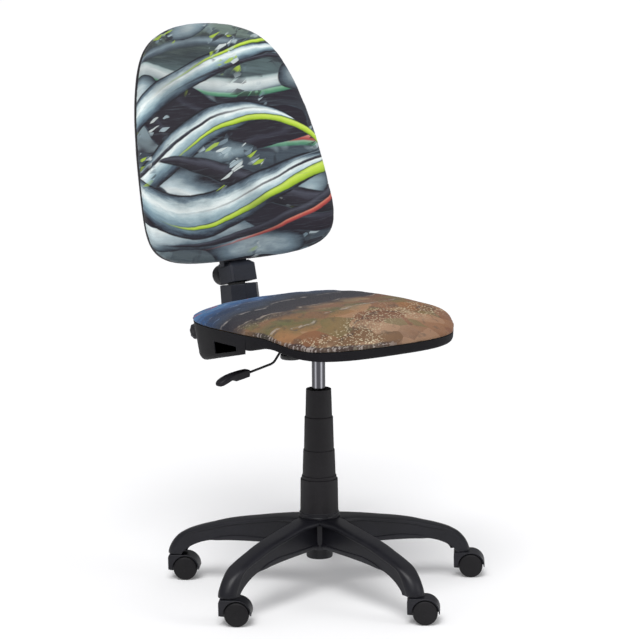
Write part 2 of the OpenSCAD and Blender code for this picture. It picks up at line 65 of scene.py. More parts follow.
def catmull(points, count):
    """Even samples of a smooth curve through points of any dimension."""
    P = [np.array(p, float) for p in points]
    P = [2 * P[0] - P[1]] + P + [2 * P[-1] - P[-2]]
    out = []
    n = len(P) - 3
    for k in range(count):
        t = k / (count - 1) * n
        i = min(int(t), n - 1)
        f = t - i
        a, b, c, d = P[i:i + 4]
        out.append(0.5 * (2 * b + (c - a) * f + (2 * a - 5 * b + 4 * c - d) * f * f
                          + (3 * b - a - 3 * c + d) * f ** 3))
    return out


def table(xs, ys, x):
    return float(np.interp(x, xs, ys))


def solid(name, verts, faces, unit=MM):
    """A mesh object at the origin, with its vertices in frame metres."""
    me = bpy.data.meshes.new(name)
    me.from_pydata([tuple(float(c) * unit for c in v) for v in verts], [], faces)
    bm = bmesh.new()
    bm.from_mesh(me)
    bmesh.ops.remove_doubles(bm, verts=bm.verts, dist=1e-6)
    bmesh.ops.recalc_face_normals(bm, faces=bm.faces)
    bm.to_mesh(me)
    bm.free()
    ob = bpy.data.objects.new(name, me)
    scene.collection.objects.link(ob)
    return ob


def bake(ob):
    """Replace the mesh by the result of its modifiers."""
    dg = bpy.context.evaluated_depsgraph_get()
    me = bpy.data.meshes.new_from_object(ob.evaluated_get(dg), preserve_all_data_layers=True,
                                         depsgraph=dg)
    old = ob.data
    ob.modifiers.clear()
    ob.data = me
    me.name = ob.name
    bpy.data.meshes.remove(old)
    return ob


def bevel(ob, width, segments=3, angle=30):
    m = ob.modifiers.new("bevel", "BEVEL")
    m.width = width * MM
    m.segments = segments
    m.limit_method = "ANGLE"
    m.angle_limit = rad(angle)
    m.use_clamp_overlap = True
    m.miter_outer = "MITER_ARC"
    return bake(ob)


def cut(ob, *cutters, op="DIFFERENCE"):
    for c in cutters:
        m = ob.modifiers.new("cut", "BOOLEAN")
        m.operation = op
        m.solver = "EXACT"
        m.object = c
        bake(ob)
        me = c.data
        bpy.data.objects.remove(c)
        bpy.data.meshes.remove(me)
    return ob


def join(name, *obs):
    """One mesh out of several closed forms."""
    bm = bmesh.new()
    for o in obs:
        bm.from_mesh(o.data)
    me = bpy.data.meshes.new(name)
    bm.to_mesh(me)
    bm.free()
    for o in obs:
        old = o.data
        bpy.data.objects.remove(o)
        bpy.data.meshes.remove(old)
    ob = bpy.data.objects.new(name, me)
    scene.collection.objects.link(ob)
    return ob


def shade(ob, angle=38, weighted=True):
    me = ob.data
    for p in me.polygons:
        p.use_smooth = True
    me.set_sharp_from_angle(angle=rad(angle))
    if weighted:
        m = ob.modifiers.new("normals", "WEIGHTED_NORMAL")
        m.keep_sharp = True
        m.weight = 50
        bake(ob)
    return ob


def piece(ob, mat, slot, body, *nodes, angle=38, weighted=True):
    shade(ob, angle, weighted)
    ob.data.materials.clear()
    ob.data.materials.append(mat)
    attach(ob, body)
    if nodes:
        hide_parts(*nodes)
    return ob


def loft(name, rings, caps=True, closed=True, loop=False, place=None):
    """Skin over rings of the same number of points."""
    n = len(rings[0])
    verts = [p for r in rings for p in r]
    if place:
        verts = [place(p) for p in verts]
    faces = []
    m = len(rings)
    for j in range(m if loop else m - 1):
        a, b = j * n, (j + 1) % m * n
        for i in range(n if closed else n - 1):
            k = (i + 1) % n
            faces.append((a + i, a + k, b + k, b + i))
    if caps and not loop:
        faces.append(tuple(range(n)))
        faces.append(tuple((m - 1) * n + i for i in range(n)))
    return solid(name, verts, faces)


def lathe(name, profile, seg=96, place=None, ripple=None):
    """Turn a profile of (radius, height) round the z axis; ends at radius 0 close to a point."""
    verts, rows = [], []
    for r, z in profile:
        if r < 1e-6:
            rows.append([len(verts)])
            verts.append((0, 0, z))
        else:
            rows.append(list(range(len(verts), len(verts) + seg)))
            for k in range(seg):
                a = 2 * math.pi * k / seg
                q = r * (ripple(r, z, a) if ripple else 1)
                verts.append((q * math.cos(a), q * math.sin(a), z))
    if place:
        verts = [place(v) for v in verts]
    faces = []
    whole = len(rows[0]) > 1 and len(rows[-1]) > 1
    pairs = list(zip(rows, rows[1:])) + ([(rows[-1], rows[0])] if whole else [])
    for a, b in pairs:
        for k in range(seg):
            l = (k + 1) % seg
            if len(a) == 1:
                faces.append((a[0], b[k], b[l]))
            elif len(b) == 1:
                faces.append((a[k], a[l], b[0]))
            else:
                faces.append((a[k], a[l], b[l], b[k]))
    return solid(name, verts, faces)


def prism(name, outline, w0, w1, place):
    """Straight extrusion of a closed outline of (a, b) from w0 to w1; place maps (a, b, w)."""
    n = len(outline)
    verts = [place((a, b, w0)) for a, b in outline] + [place((a, b, w1)) for a, b in outline]
    faces = [(i, (i + 1) % n, n + (i + 1) % n, n + i) for i in range(n)]
    faces += [tuple(range(n)), tuple(range(n, 2 * n))]
    return solid(name, verts, faces)


def box(name, lo, hi, place=None, r=0.0):
    """Block with its upright edges rounded by r."""
    (x0, y0, z0), (x1, y1, z1) = lo, hi
    if r:
        pts = []
        for cx, cy, a0 in ((x1 - r, y1 - r, 0), (x0 + r, y1 - r, 90), (x0 + r, y0 + r, 180), (x1 - r, y0 + r, 270)):
            for k in range(7):
                a = rad(a0 + 15 * k)
                pts.append((cx + r * math.cos(a), cy + r * math.sin(a)))
    else:
        pts = [(x0, y0), (x1, y0), (x1, y1), (x0, y1)]
    return prism(name, pts, z0, z1, place or (lambda p: p))


def clip(ob, *planes):
    """Cut a convex form by planes given as (point, outward normal), in millimetres."""
    bm = bmesh.new()
    bm.from_mesh(ob.data)
    for co, no in planes:
        bmesh.ops.bisect_plane(bm, geom=bm.verts[:] + bm.edges[:] + bm.faces[:], dist=1e-7,
                               plane_co=Vector(co) * MM, plane_no=Vector(no), clear_outer=True)
        rim = [e for e in bm.edges if e.is_boundary]
        if rim:
            bmesh.ops.contextual_create(bm, geom=rim)
    bmesh.ops.recalc_face_normals(bm, faces=bm.faces)
    bm.to_mesh(ob.data)
    bm.free()
    return ob


def tube(name, path, radius, seg=24, ends=True):
    """Round rod along a smooth path of points."""
    P = [Vector(p) for p in path]
    rings = []
    up = None
    for i, p in enumerate(P):
        t = (P[min(i + 1, len(P) - 1)] - P[max(i - 1, 0)]).normalized()
        if up is None:
            up = Vector((0, 1, 0)) if abs(t.y) < 0.9 else Vector((1, 0, 0))
        side = t.cross(up).normalized()
        up = side.cross(t).normalized()
        q = radius(i / (len(P) - 1)) if callable(radius) else radius
        rings.append([p + side * q * math.cos(2 * math.pi * k / seg) + up * q * math.sin(2 * math.pi * k / seg)
                      for k in range(seg)])
    return loft(name, rings, caps=ends)


def rounded_path(points, r, steps=6):
    """Polyline with its corners rounded."""
    P = [Vector(p) for p in points]
    out = [P[0]]
    for a, b, c in zip(P, P[1:], P[2:]):
        u, v = (a - b), (c - b)
        q = min(r, u.length * 0.48, v.length * 0.48)
        s, e = b + u.normalized() * q, b + v.normalized() * q
        for k in range(steps + 1):
            f = k / steps
            out.append(s.lerp(b, f).lerp(b.lerp(e, f), f))
    out.append(P[-1])
    return out


# ---------------------------------------------------------------- materials

def lin(r, g, b):
    def f(c):
        c /= 255
        return c / 12.92 if c <= 0.04045 else ((c + 0.055) / 1.055) ** 2.4
    return (f(r), f(g), f(b), 1.0)


class Look:
    """Short names for the nodes of one material."""

    def __init__(self, name):
        self.mat = bpy.data.materials.new(name)
        self.mat.use_nodes = True
        self.t = self.mat.node_tree
        self.t.nodes.clear()
        self.out = self.t.nodes.new("ShaderNodeOutputMaterial")
        self.b = self.t.nodes.new("ShaderNodeBsdfPrincipled")
        self.t.links.new(self.b.outputs[0], self.out.inputs[0])
        self.co = self.t.nodes.new("ShaderNodeTexCoord").outputs["Object"]

    def new(self, kind):
        return self.t.nodes.new(kind)

    def put(self, socket, value):
        if isinstance(value, bpy.types.NodeSocket):
            self.t.links.new(value, socket)
        elif value is not None:
            socket.default_value = value

    def m(self, op, a, b=None, c=None, clamp=False):
        n = self.new("ShaderNodeMath")
        n.operation = op
        n.use_clamp = clamp
        for s, v in zip(n.inputs, (a, b, c)):
            self.put(s, v)
        return n.outputs[0]

    def add(self, a, b):
        return self.m("ADD", a, b)

    def sub(self, a, b):
        return self.m("SUBTRACT", a, b)

    def mul(self, a, b):
        return self.m("MULTIPLY", a, b)

    def dot(self, v, d):
        n = self.new("ShaderNodeVectorMath")
        n.operation = "DOT_PRODUCT"
        self.put(n.inputs[0], v)
        n.inputs[1].default_value = d
        return n.outputs["Value"]

    def scaled(self, v, s):
        n = self.new("ShaderNodeVectorMath")
        n.operation = "MULTIPLY"
        self.put(n.inputs[0], v)
        n.inputs[1].default_value = s
        return n.outputs[0]

    def vadd(self, a, b):
        n = self.new("ShaderNodeVectorMath")
        n.operation = "ADD"
        self.put(n.inputs[0], a)
        self.put(n.inputs[1], b)
        return n.outputs[0]

    def xyz(self, x, y, z=0.0):
        n = self.new("ShaderNodeCombineXYZ")
        for s, v in zip(n.inputs, (x, y, z)):
            self.put(s, v)
        return n.outputs[0]

    def noise(self, scale, detail=3.0, rough=0.5, v=None, warp=0.0):
        n = self.new("ShaderNodeTexNoise")
        self.put(n.inputs["Vector"], self.co if v is None else v)
        n.inputs["Scale"].default_value = scale
        n.inputs["Detail"].default_value = detail
        n.inputs["Roughness"].default_value = rough
        n.inputs["Distortion"].default_value = warp
        return n.outputs["Fac"]

    def cells(self, scale, v=None, out="Distance", feature="F1", jitter=1.0):
        n = self.new("ShaderNodeTexVoronoi")
        n.feature = feature
        self.put(n.inputs["Vector"], self.co if v is None else v)
        n.inputs["Scale"].default_value = scale
        n.inputs["Randomness"].default_value = jitter
        return n.outputs[out]

    def step(self, value, a, b, lo=0.0, hi=1.0):
        n = self.new("ShaderNodeMapRange")
        n.interpolation_type = "SMOOTHSTEP"
        self.put(n.inputs["Value"], value)
        n.inputs["From Min"].default_value = a
        n.inputs["From Max"].default_value = b
        n.inputs["To Min"].default_value = lo
        n.inputs["To Max"].default_value = hi
        return n.outputs["Result"]

    def mix(self, fac, a, b, blend="MIX"):
        n = self.new("ShaderNodeMix")
        n.data_type = "RGBA"
        n.blend_type = blend
        self.put(n.inputs[0], fac)
        self.put(n.inputs[6], a)
        self.put(n.inputs[7], b)
        return n.outputs[2]

    def ramp(self, fac, stops, mode="LINEAR"):
        n = self.new("ShaderNodeValToRGB")
        n.color_ramp.interpolation = mode
        e = n.color_ramp.elements
        while len(e) < len(stops):
            e.new(0.5)
        for k, (p, c) in zip(e, stops):
            k.position = p
            k.color = c
        self.put(n.inputs[0], fac)
        return n.outputs[0]

    def bump(self, height, strength, distance, normal=None):
        n = self.new("ShaderNodeBump")
        n.inputs["Strength"].default_value = strength
        n.inputs["Distance"].default_value = distance
        self.put(n.inputs["Height"], height)
        if normal is not None:
            self.put(n.inputs["Normal"], normal)
        return n.outputs[0]

    def edge(self, lo=0.52, hi=0.62):
        return self.step(self.new("ShaderNodeNewGeometry").outputs["Pointiness"], lo, hi)

    def facing(self):
        """0 where the surface faces the viewer, 1 at its rim."""
        return self.new("ShaderNodeLayerWeight").outputs["Facing"]

    def set(self, **values):
        for k, v in values.items():
            self.put(self.b.inputs[k.replace("_", " ")], v)
        return self


def plastic(name, dark, light, rough=0.42, grain=0.18, edge=0.3, spec=0.3, rim=0.0):
    """Moulded nylon: fine spark-eroded grain, cloudy gloss, convex edges made paler by a painted highlight, a few
    scuffs, and with rim a painted shade towards the outline.
    """
    k = Look(name)
    cloud = k.noise(9, 4, 0.6)
    fine = k.noise(1400, 2, 0.6)
    speck = k.noise(420, 2, 0.5)
    col = k.mix(k.step(cloud, 0.32, 0.7), dark, light)
    col = k.mix(k.mul(k.step(speck, 0.5, 0.78), 0.35), col, tuple(min(1, c * 1.7) for c in light[:3]) + (1,))
    # painted highlight: convex edges, found by pointiness, are mixed towards a paler grey
    col = k.mix(k.mul(k.edge(0.515, 0.60), edge), col, lin(74, 74, 79))
    stretched = k.noise(1, 5, 0.7, v=k.scaled(k.co, (30, 260, 90)))
    scuff = k.mul(k.step(stretched, 0.66, 0.74), k.step(k.noise(14, 2), 0.5, 0.62))
    col = k.mix(k.mul(scuff, 0.25), col, lin(66, 66, 69))
    r = k.add(k.step(cloud, 0.25, 0.8, rough - 0.05, rough + 0.07), k.mul(fine, 0.06))
    r = k.add(r, k.mul(scuff, 0.12))
    n = k.bump(fine, grain, 0.0002)
    n = k.bump(speck, grain * 0.7, 0.0003, n)
    n = k.bump(k.noise(38, 2), 0.05, 0.002, n)
    if rim:
        # painted shade: the colour darkens towards the outline, by the facing angle, and the gloss fades there too
        f = k.facing()
        col = k.mix(k.mul(k.step(f, 0.15, 0.8), rim * 0.6), col, tuple(c * 0.3 for c in dark[:3]) + (1,))
        k.put(k.b.inputs["Specular IOR Level"], k.step(f, 0.25, 0.85, spec, spec * (1 - rim)))
    else:
        k.b.inputs["Specular IOR Level"].default_value = spec
    k.set(Base_Color=col, Roughness=r, Normal=n)
    return k.mat


def metal(name, dark, light, metallic, rough, brushed=(60, 60, 900), strength=0.1):
    """Drawn or plated steel with fine lines along its length, cloudy gloss and a painted highlight on its convex edges.
    """
    k = Look(name)
    lines = k.noise(1, 5, 0.65, v=k.scaled(k.co, brushed))
    cloud = k.noise(22, 3)
    col = k.mix(k.step(lines, 0.3, 0.75), dark, light)
    # painted highlight: convex edges, found by pointiness, are mixed towards a paler tint
    col = k.mix(k.mul(k.edge(0.52, 0.6), 0.3), col, tuple(min(1, c * 1.25 + 0.05) for c in light[:3]) + (1,))
    r = k.add(k.step(cloud, 0.3, 0.75, rough * 0.8, rough * 1.3), k.mul(lines, 0.06))
    k.set(Base_Color=col, Roughness=r, Normal=k.bump(lines, strength, 0.0001))
    k.b.inputs["Metallic"].default_value = metallic
    return k.mat


def chrome(name):
    """Bright drawn tube with a painted reflection: dark middle and rims with a pale painted highlight stripe on each
    side, set by the facing angle; fine lines along it.
    """
    k = Look(name)
    lines = k.noise(1, 5, 0.65, v=k.scaled(k.co, (230, 230, 2.5)))
    cloud = k.noise(22, 3)
    f = k.add(k.facing(), k.mul(k.sub(lines, 0.5), 0.05))
    # painted reflection: the colour runs from dark in the middle to a pale stripe and dark again at the rims, by the
    # facing angle
    painted_reflection_band = k.ramp(f, [(0.0, (0.07, 0.07, 0.078, 1)), (0.045, (0.09, 0.09, 0.10, 1)), (0.09, (0.44, 0.44, 0.47, 1)),
                      (0.14, (0.38, 0.38, 0.41, 1)), (0.20, (0.11, 0.11, 0.12, 1)), (0.40, (0.06, 0.06, 0.065, 1)),
                      (0.75, (0.04, 0.04, 0.044, 1)), (1.0, (0.03, 0.03, 0.033, 1))])
    col = k.mix(k.mul(k.step(cloud, 0.45, 0.7), 0.15), painted_reflection_band, (0.2, 0.2, 0.21, 1))
    k.set(Base_Color=col, Roughness=k.step(cloud, 0.3, 0.75, 0.14, 0.22), Normal=k.bump(lines, 0.05, 0.0001))
    k.b.inputs["Metallic"].default_value = 1.0
    return k.mat


def rubber(name):
    k = Look(name)
    n1 = k.noise(300, 3)
    k.set(Base_Color=k.mix(n1, lin(22, 22, 23), lin(44, 43, 42)), Roughness=k.step(n1, 0.3, 0.7, 0.7, 0.9),
          Normal=k.bump(n1, 0.3, 0.0004))
    return k.mat


def plywood(name):
    """Birch plywood: long grain on the faces and thin plies on the edge."""
    k = Look(name)
    grain = k.noise(1, 6, 0.65, v=k.scaled(k.co, (16, 220, 16)), warp=0.6)
    ply = k.m("SINE", k.mul(k.dot(k.co, (0, 0, 1)), 2 * math.pi / 0.0028))
    col = k.ramp(grain, [(0.25, lin(150, 112, 72)), (0.5, lin(196, 160, 112)), (0.8, lin(222, 192, 146))])
    col = k.mix(k.mul(k.step(ply, 0.2, 0.7), 0.3), col, lin(132, 96, 62))
    k.set(Base_Color=col, Roughness=k.step(grain, 0.2, 0.8, 0.55, 0.75), Normal=k.bump(grain, 0.25, 0.0006))
    return k.mat


def natural_plastic(name):
    k = Look(name)
    n1 = k.noise(60, 4)
    f = k.noise(900, 2)
    k.set(Base_Color=k.mix(n1, lin(196, 194, 180), lin(222, 220, 208)),
          Roughness=k.step(n1, 0.3, 0.7, 0.38, 0.55), Normal=k.bump(f, 0.15, 0.0002))
    return k.mat


# rim sets how much painted shade darkens a nylon towards its outline
NYLON = plastic("moulded_nylon", lin(19, 18, 22), lin(28, 27, 32), rough=0.44, spec=0.22)
PAN_NYLON = plastic("pan_nylon", lin(17, 16, 19), lin(26, 25, 29), rough=0.5, spec=0.1, rim=0.6)
STEM_NYLON = plastic("stem_nylon", lin(29, 31, 38), lin(40, 43, 52), rough=0.46, spec=0.24)
BASE_NYLON = plastic("base_nylon", lin(20, 20, 25), lin(29, 29, 35), rough=0.38, grain=0.14, spec=0.28, rim=0.5)
WHEEL_NYLON = plastic("wheel_nylon", lin(19, 18, 20), lin(28, 27, 29), rough=0.5, grain=0.12, spec=0.22)
COVER_NYLON = plastic("cover_nylon", lin(22, 20, 23), lin(31, 29, 32), rough=0.45, spec=0.26, rim=0.9)
CHROME = chrome("chrome_steel")
BLACK_STEEL = metal("black_steel", lin(14, 14, 16), lin(28, 28, 30), 0.0, 0.4, (240, 240, 240), 0.12)
ZINC = metal("zinc_steel", (0.30, 0.31, 0.32, 1), (0.52, 0.53, 0.56, 1), 1.0, 0.34)
RUBBER = rubber("buffer_rubber")
PLY = plywood("plywood")
BUSH = natural_plastic("bush_plastic")


def woven(k, u, v, col, pitch=0.0011):
    """Fine plain weave over a printed colour: threads with painted shade between them, slubs, soft fuzz."""
    w = 2 * math.pi / pitch
    su, sv = k.m("SINE", k.mul(u, w)), k.m("SINE", k.mul(v, w))
    over = k.mul(su, sv)
    warp = k.m("ABSOLUTE", k.m("SINE", k.mul(u, w / 2)))
    weft = k.m("ABSOLUTE", k.m("SINE", k.mul(v, w / 2)))
    pick = k.step(over, -0.25, 0.25)
    thread = k.add(k.mul(warp, pick), k.mul(weft, k.sub(1.0, pick)))
    slub = k.noise(1, 3, 0.6, v=k.xyz(k.mul(u, 60), k.mul(v, 900)))
    fuzz = k.noise(900, 3, 0.7)
    # painted shade and light: the colour darkens in the hollows between threads and brightens a little on their crowns;
    # slubs and fuzz add random tone
    shade_ = k.add(k.step(thread, 0.0, 0.9, 0.86, 1.03), k.mul(k.sub(slub, 0.5), 0.16))
    shade_ = k.add(shade_, k.mul(k.sub(fuzz, 0.5), 0.14))
    out = k.mix(1.0, col, k.xyz(shade_, shade_, shade_), "MULTIPLY")
    h = k.add(thread, k.mul(fuzz, 0.5))
    n = k.bump(h, 0.35, 0.00025)
    n = k.bump(k.noise(26, 3), 0.12, 0.003, n)
    k.set(Base_Color=out, Roughness=k.step(slub, 0.2, 0.8, 0.72, 0.86), Normal=n)
    k.b.inputs["Specular IOR Level"].default_value = 0.3
    k.b.inputs["Sheen Weight"].default_value = 0.12
    k.b.inputs["Sheen Roughness"].default_value = 0.5
    return k.mat


def ribbon(k, col, u, v, curve, width, stops, edge=None, edge_w=0.0025, soft=0.0014, alpha=1.0, wear=0.22, seed=0.0):
    """Lay a flowing ribbon over col: centre line v = curve(u), half width = width(u)."""
    c0, c1, c2, c3 = curve
    f = k.add(k.mul(k.add(k.mul(k.add(k.mul(u, c3), c2), u), c1), u), c0)
    d = k.sub(v, f)
    w0, w1, w2 = width
    w = k.m("MAXIMUM", k.add(k.mul(k.add(k.mul(u, w2), w1), u), w0), 0.0001)
    a = k.m("ABSOLUTE", d)
    if edge is not None:
        ring = k.step(k.sub(a, k.add(w, edge_w)), -soft, soft, 1.0, 0.0)
        col = k.mix(k.mul(ring, k.step(w, 0.0005, 0.004)), col, edge)
    t = k.add(k.mul(k.m("DIVIDE", d, w), 0.5), 0.5)
    if wear:
        # uneven gloss along the ribbon
        run = k.noise(1, 4, 0.6, v=k.xyz(k.mul(u, 16), k.mul(d, 60), seed))
        t = k.add(t, k.mul(k.sub(run, 0.5), wear * 2))
    inside = k.step(k.sub(a, w), -soft, soft, 1.0, 0.0)
    inside = k.mul(inside, k.step(w, 0.0005, 0.003))
    return k.mix(k.mul(inside, alpha), col, k.ramp(t, stops))


TILT = rad(14.9)


def shards(k, col, x, v, scale, tilt, where, colours, seed):
    """Small sharp flakes in a few tints, slanted, inside a mask."""
    p = k.xyz(k.mul(k.add(x, k.mul(v, tilt)), scale), k.mul(k.sub(v, k.mul(x, 0.35)), scale * 3.4), seed)
    pick = k.cells(1.0, v=p, out="Color")
    sep = k.new("ShaderNodeSeparateColor")
    k.put(sep.inputs[0], pick)
    rim = k.cells(1.0, v=p, feature="DISTANCE_TO_EDGE")
    tint = k.ramp(sep.outputs[0], [(i / len(colours), c) for i, c in enumerate(colours)], "CONSTANT")
    show = k.mul(k.step(sep.outputs[1], 0.42, 0.45), k.step(rim, 0.02, 0.06))
    return k.mix(k.mul(show, where), col, tint)


def back_print():
    """Generic print of flowing silver, slate and lime ribbons over a streaked dark ground."""
    k = Look("back_print_fabric")
    x = k.dot(k.co, (1, 0, 0))
    rel = k.vadd(k.co, (0, -0.254, -0.666))
    v0 = k.dot(rel, (0, math.sin(TILT), math.cos(TILT)))
    # the cloth is drawn round the cushion's edge, so the print runs on over it
    behind = k.add(k.dot(rel, (0, math.cos(TILT), -math.sin(TILT))), k.mul(k.mul(x, x), 1 / 1.76))
    grow = k.add(1.0, k.mul(k.m("MAXIMUM", behind, 0.0), 3.6))
    x = k.mul(x, grow)
    v0 = k.add(k.mul(k.sub(v0, 0.25), grow), 0.25)
    wob = k.noise(6, 2, 0.5)
    fine = k.noise(60, 3, 0.6)
    v = k.add(v0, k.mul(k.sub(wob, 0.5), 0.024))
    v = k.add(v, k.mul(k.sub(fine, 0.5), 0.0022))
    streak = k.noise(1, 5, 0.62, v=k.xyz(k.mul(x, 6), k.mul(k.add(v, k.mul(x, 0.18)), 90)))
    tone = k.add(k.m("DIVIDE", v, 0.503), k.mul(k.sub(streak, 0.5), 0.2))
    col = k.ramp(tone, [(0.0, lin(90, 102, 106)), (0.09, lin(66, 76, 84)), (0.17, lin(38, 32, 45)),
                        (0.30, lin(30, 24, 36)), (0.42, lin(66, 78, 88)), (0.5, lin(36, 30, 42)),
                        (0.60, lin(54, 60, 68)), (0.7, lin(30, 24, 36)), (0.80, lin(86, 104, 106)),
                        (0.88, lin(54, 64, 66)), (1.0, lin(108, 124, 116))])
    patch = k.noise(9, 4, 0.55, warp=0.5)
    col = k.mix(k.mul(k.step(patch, 0.53, 0.63), 0.72), col, lin(30, 27, 36))
    pale = k.noise(7, 3, 0.55, v=k.vadd(k.co, (3.1, 0.7, 1.9)), warp=0.8)
    col = k.mix(k.mul(k.step(pale, 0.56, 0.68), 0.6), col, lin(150, 170, 176))
    silver = [(0.0, lin(34, 36, 48)), (0.10, lin(70, 86, 100)), (0.28, lin(120, 146, 158)), (0.46, lin(176, 200, 206)),
              (0.62, lin(236, 244, 242)), (0.78, lin(196, 212, 214)), (0.9, lin(112, 132, 144)), (1.0, lin(60, 72, 84))]
    white = [(0.0, lin(112, 130, 138)), (0.25, lin(190, 204, 206)), (0.6, lin(226, 234, 232)), (1.0, lin(166, 186, 186))]
    steel = [(0.0, lin(40, 46, 56)), (0.35, lin(84, 98, 110)), (0.6, lin(132, 150, 160)), (1.0, lin(66, 78, 88))]
    dark = [(0.0, lin(22, 20, 28)), (0.5, lin(40, 36, 46)), (0.8, lin(70, 72, 84)), (1.0, lin(34, 31, 40))]
    green = [(0.0, lin(58, 118, 96)), (0.5, lin(96, 158, 120)), (1.0, lin(150, 196, 168))]
    lime = [(0.0, lin(128, 160, 36)), (0.4, lin(178, 208, 58)), (0.8, lin(202, 224, 96)), (1.0, lin(160, 190, 70))]
    red = [(0.0, lin(140, 50, 52)), (0.5, lin(188, 78, 68)), (1.0, lin(220, 140, 116))]
    L, K = lin(192, 220, 44), lin(26, 24, 32)
    # far layer, soft and dim
    col = ribbon(k, col, x, v, (0.470, -0.05, -0.9, 0), (0.012, 0.01, 0), steel, soft=0.004, alpha=0.8, seed=1)
    col = ribbon(k, col, x, v, (0.372, -0.10, 0.8, 0), (0.017, -0.02, 0), white, soft=0.003, alpha=0.85, seed=2)
    col = ribbon(k, col, x, v, (0.353, -0.11, 0.8, 0), (0.0045, 0.01, 0), green, soft=0.002, alpha=0.85, seed=3)
    col = ribbon(k, col, x, v, (0.246, 0.10, -0.5, 0), (0.012, 0.03, 0), steel, soft=0.004, alpha=0.9, seed=4)
    col = ribbon(k, col, x, v, (0.236, 0.11, -0.5, 0), (0.0035, 0.02, 0), red, soft=0.002, alpha=0.75, seed=5)
    col = ribbon(k, col, x, v, (0.226, 0.11, -0.5, 0), (0.003, 0.012, 0), green, soft=0.002, alpha=0.75, seed=6)
    far = k.mul(k.step(patch, 0.46, 0.52), k.step(k.noise(5, 2, v=k.vadd(k.co, (1.3, 2.2, 0.4))), 0.48, 0.54))
    col = shards(k, col, x, v, 26, 0.5, k.mul(far, 0.8),
                 [lin(34, 30, 40), lin(118, 138, 148), lin(60, 70, 80), lin(176, 190, 194), lin(40, 36, 48)], 0.4)
    # large smooth forms with a lit side, in silver and in near-black
    for sx, sv, lean, seed, cut_, tints in (
            (2.6, 7.5, 0.30, 3.3, 0.575, [(0.0, lin(28, 24, 33)), (0.08, lin(58, 68, 78)), (0.25, lin(108, 126, 136)),
                                          (0.5, lin(190, 206, 210)), (0.7, lin(224, 232, 231)), (1.0, lin(150, 168, 176))]),
            (3.0, 8.5, -0.35, 11.9, 0.53, [(0.0, lin(58, 68, 78)), (0.08, lin(30, 25, 36)), (0.6, lin(35, 30, 41)),
                                           (0.85, lin(52, 52, 64)), (1.0, lin(34, 30, 40))]),
            (3.4, 8.0, 0.6, 27.4, 0.60, [(0.0, lin(26, 24, 32)), (0.1, lin(74, 88, 98)), (0.4, lin(140, 160, 168)),
                                         (0.75, lin(214, 226, 226)), (1.0, lin(150, 172, 180))])):
        field = k.noise(1, 1.0, 0.3, v=k.xyz(k.mul(k.add(x, k.mul(v, lean)), sx), k.mul(k.sub(v, k.mul(x, lean * 0.5)), sv), seed))
        run = k.noise(1, 4, 0.6, v=k.xyz(k.mul(x, 20), k.mul(v, 70), seed))
        lit = k.add(k.mul(k.sub(field, cut_), 6.5), k.mul(k.sub(run, 0.5), 0.3))
        col = k.mix(k.step(field, cut_ - 0.004, cut_ + 0.004), col, k.ramp(lit, tints))
    # near layer
    col = ribbon(k, col, x, v, (0.418, 0.30, -0.6, 0), (0.022, -0.06, -0.10), silver, K, 0.003, seed=7)
    col = ribbon(k, col, x, v, (0.433, 0.34, -0.6, 0), (0.0026, 0.010, 0), lime, K, 0.0012, seed=8)
    col = ribbon(k, col, x, v, (0.402, 0.27, -0.6, 0), (0.0028, 0.012, 0), dark, seed=9)
    col = ribbon(k, col, x, v, (0.300, 0.26, -1.6, -2.4), (0.030, -0.09, -0.4), silver, K, 0.004, seed=10)
    col = ribbon(k, col, x, v, (0.286, 0.28, -1.6, -2.4), (0.0042, 0.02, 0), lime, K, 0.0014, seed=11)
    col = ribbon(k, col, x, v, (0.309, 0.24, -1.5, -2.2), (0.0024, -0.01, 0), dark, seed=12)
    col = ribbon(k, col, x, v, (0.178, -0.40, -0.4, 3.0), (0.024, 0.06, -0.3), dark, lin(60, 72, 80), 0.001, seed=13)
    col = ribbon(k, col, x, v, (0.120, 0.30, 0.7, -3.2), (0.040, -0.05, -0.2), silver, K, 0.004, seed=14)
    col = ribbon(k, col, x, v, (0.098, 0.33, 0.8, -3.3), (0.0055, 0.022, 0), lime, K, 0.0016, seed=15)
    col = ribbon(k, col, x, v, (0.128, 0.31, 0.7, -3.2), (0.0018, 0.006, 0), dark, seed=16)
    col = ribbon(k, col, x, v, (0.142, 0.30, 0.7, -3.2), (0.0012, 0.004, 0), steel, seed=17)
    col = ribbon(k, col, x, v, (0.052, 0.16, 0.5, 0), (0.008, 0.03, 0), dark, seed=18)
    col = ribbon(k, col, x, v, (0.040, 0.17, 0.5, 0), (0.0022, 0.014, 0), red, alpha=0.9, seed=19)
    near = k.mul(k.step(k.noise(8, 3, v=k.vadd(k.co, (7.7, 0.2, 3.3)), warp=0.6), 0.57, 0.62), 0.8)
    col = shards(k, col, x, v, 40, -0.4, near,
                 [lin(30, 28, 36), lin(60, 70, 80), lin(172, 190, 196), lin(36, 34, 42), lin(120, 138, 148), lin(214, 224, 222),
                  lin(168, 196, 60)], 2.7)
    haze = k.noise(1, 4, 0.6, v=k.xyz(k.mul(x, 14), k.mul(v, 190)))
    col = k.mix(k.mul(k.step(haze, 0.5, 0.8), 0.22), col, lin(120, 136, 146))
    shade_ = k.noise(5, 3, 0.5, v=k.vadd(k.co, (4.4, 1.2, 8.3)))
    col = k.mix(k.mul(k.step(shade_, 0.5, 0.72), 0.42), col, lin(34, 34, 44))
    return woven(k, x, v0, col)


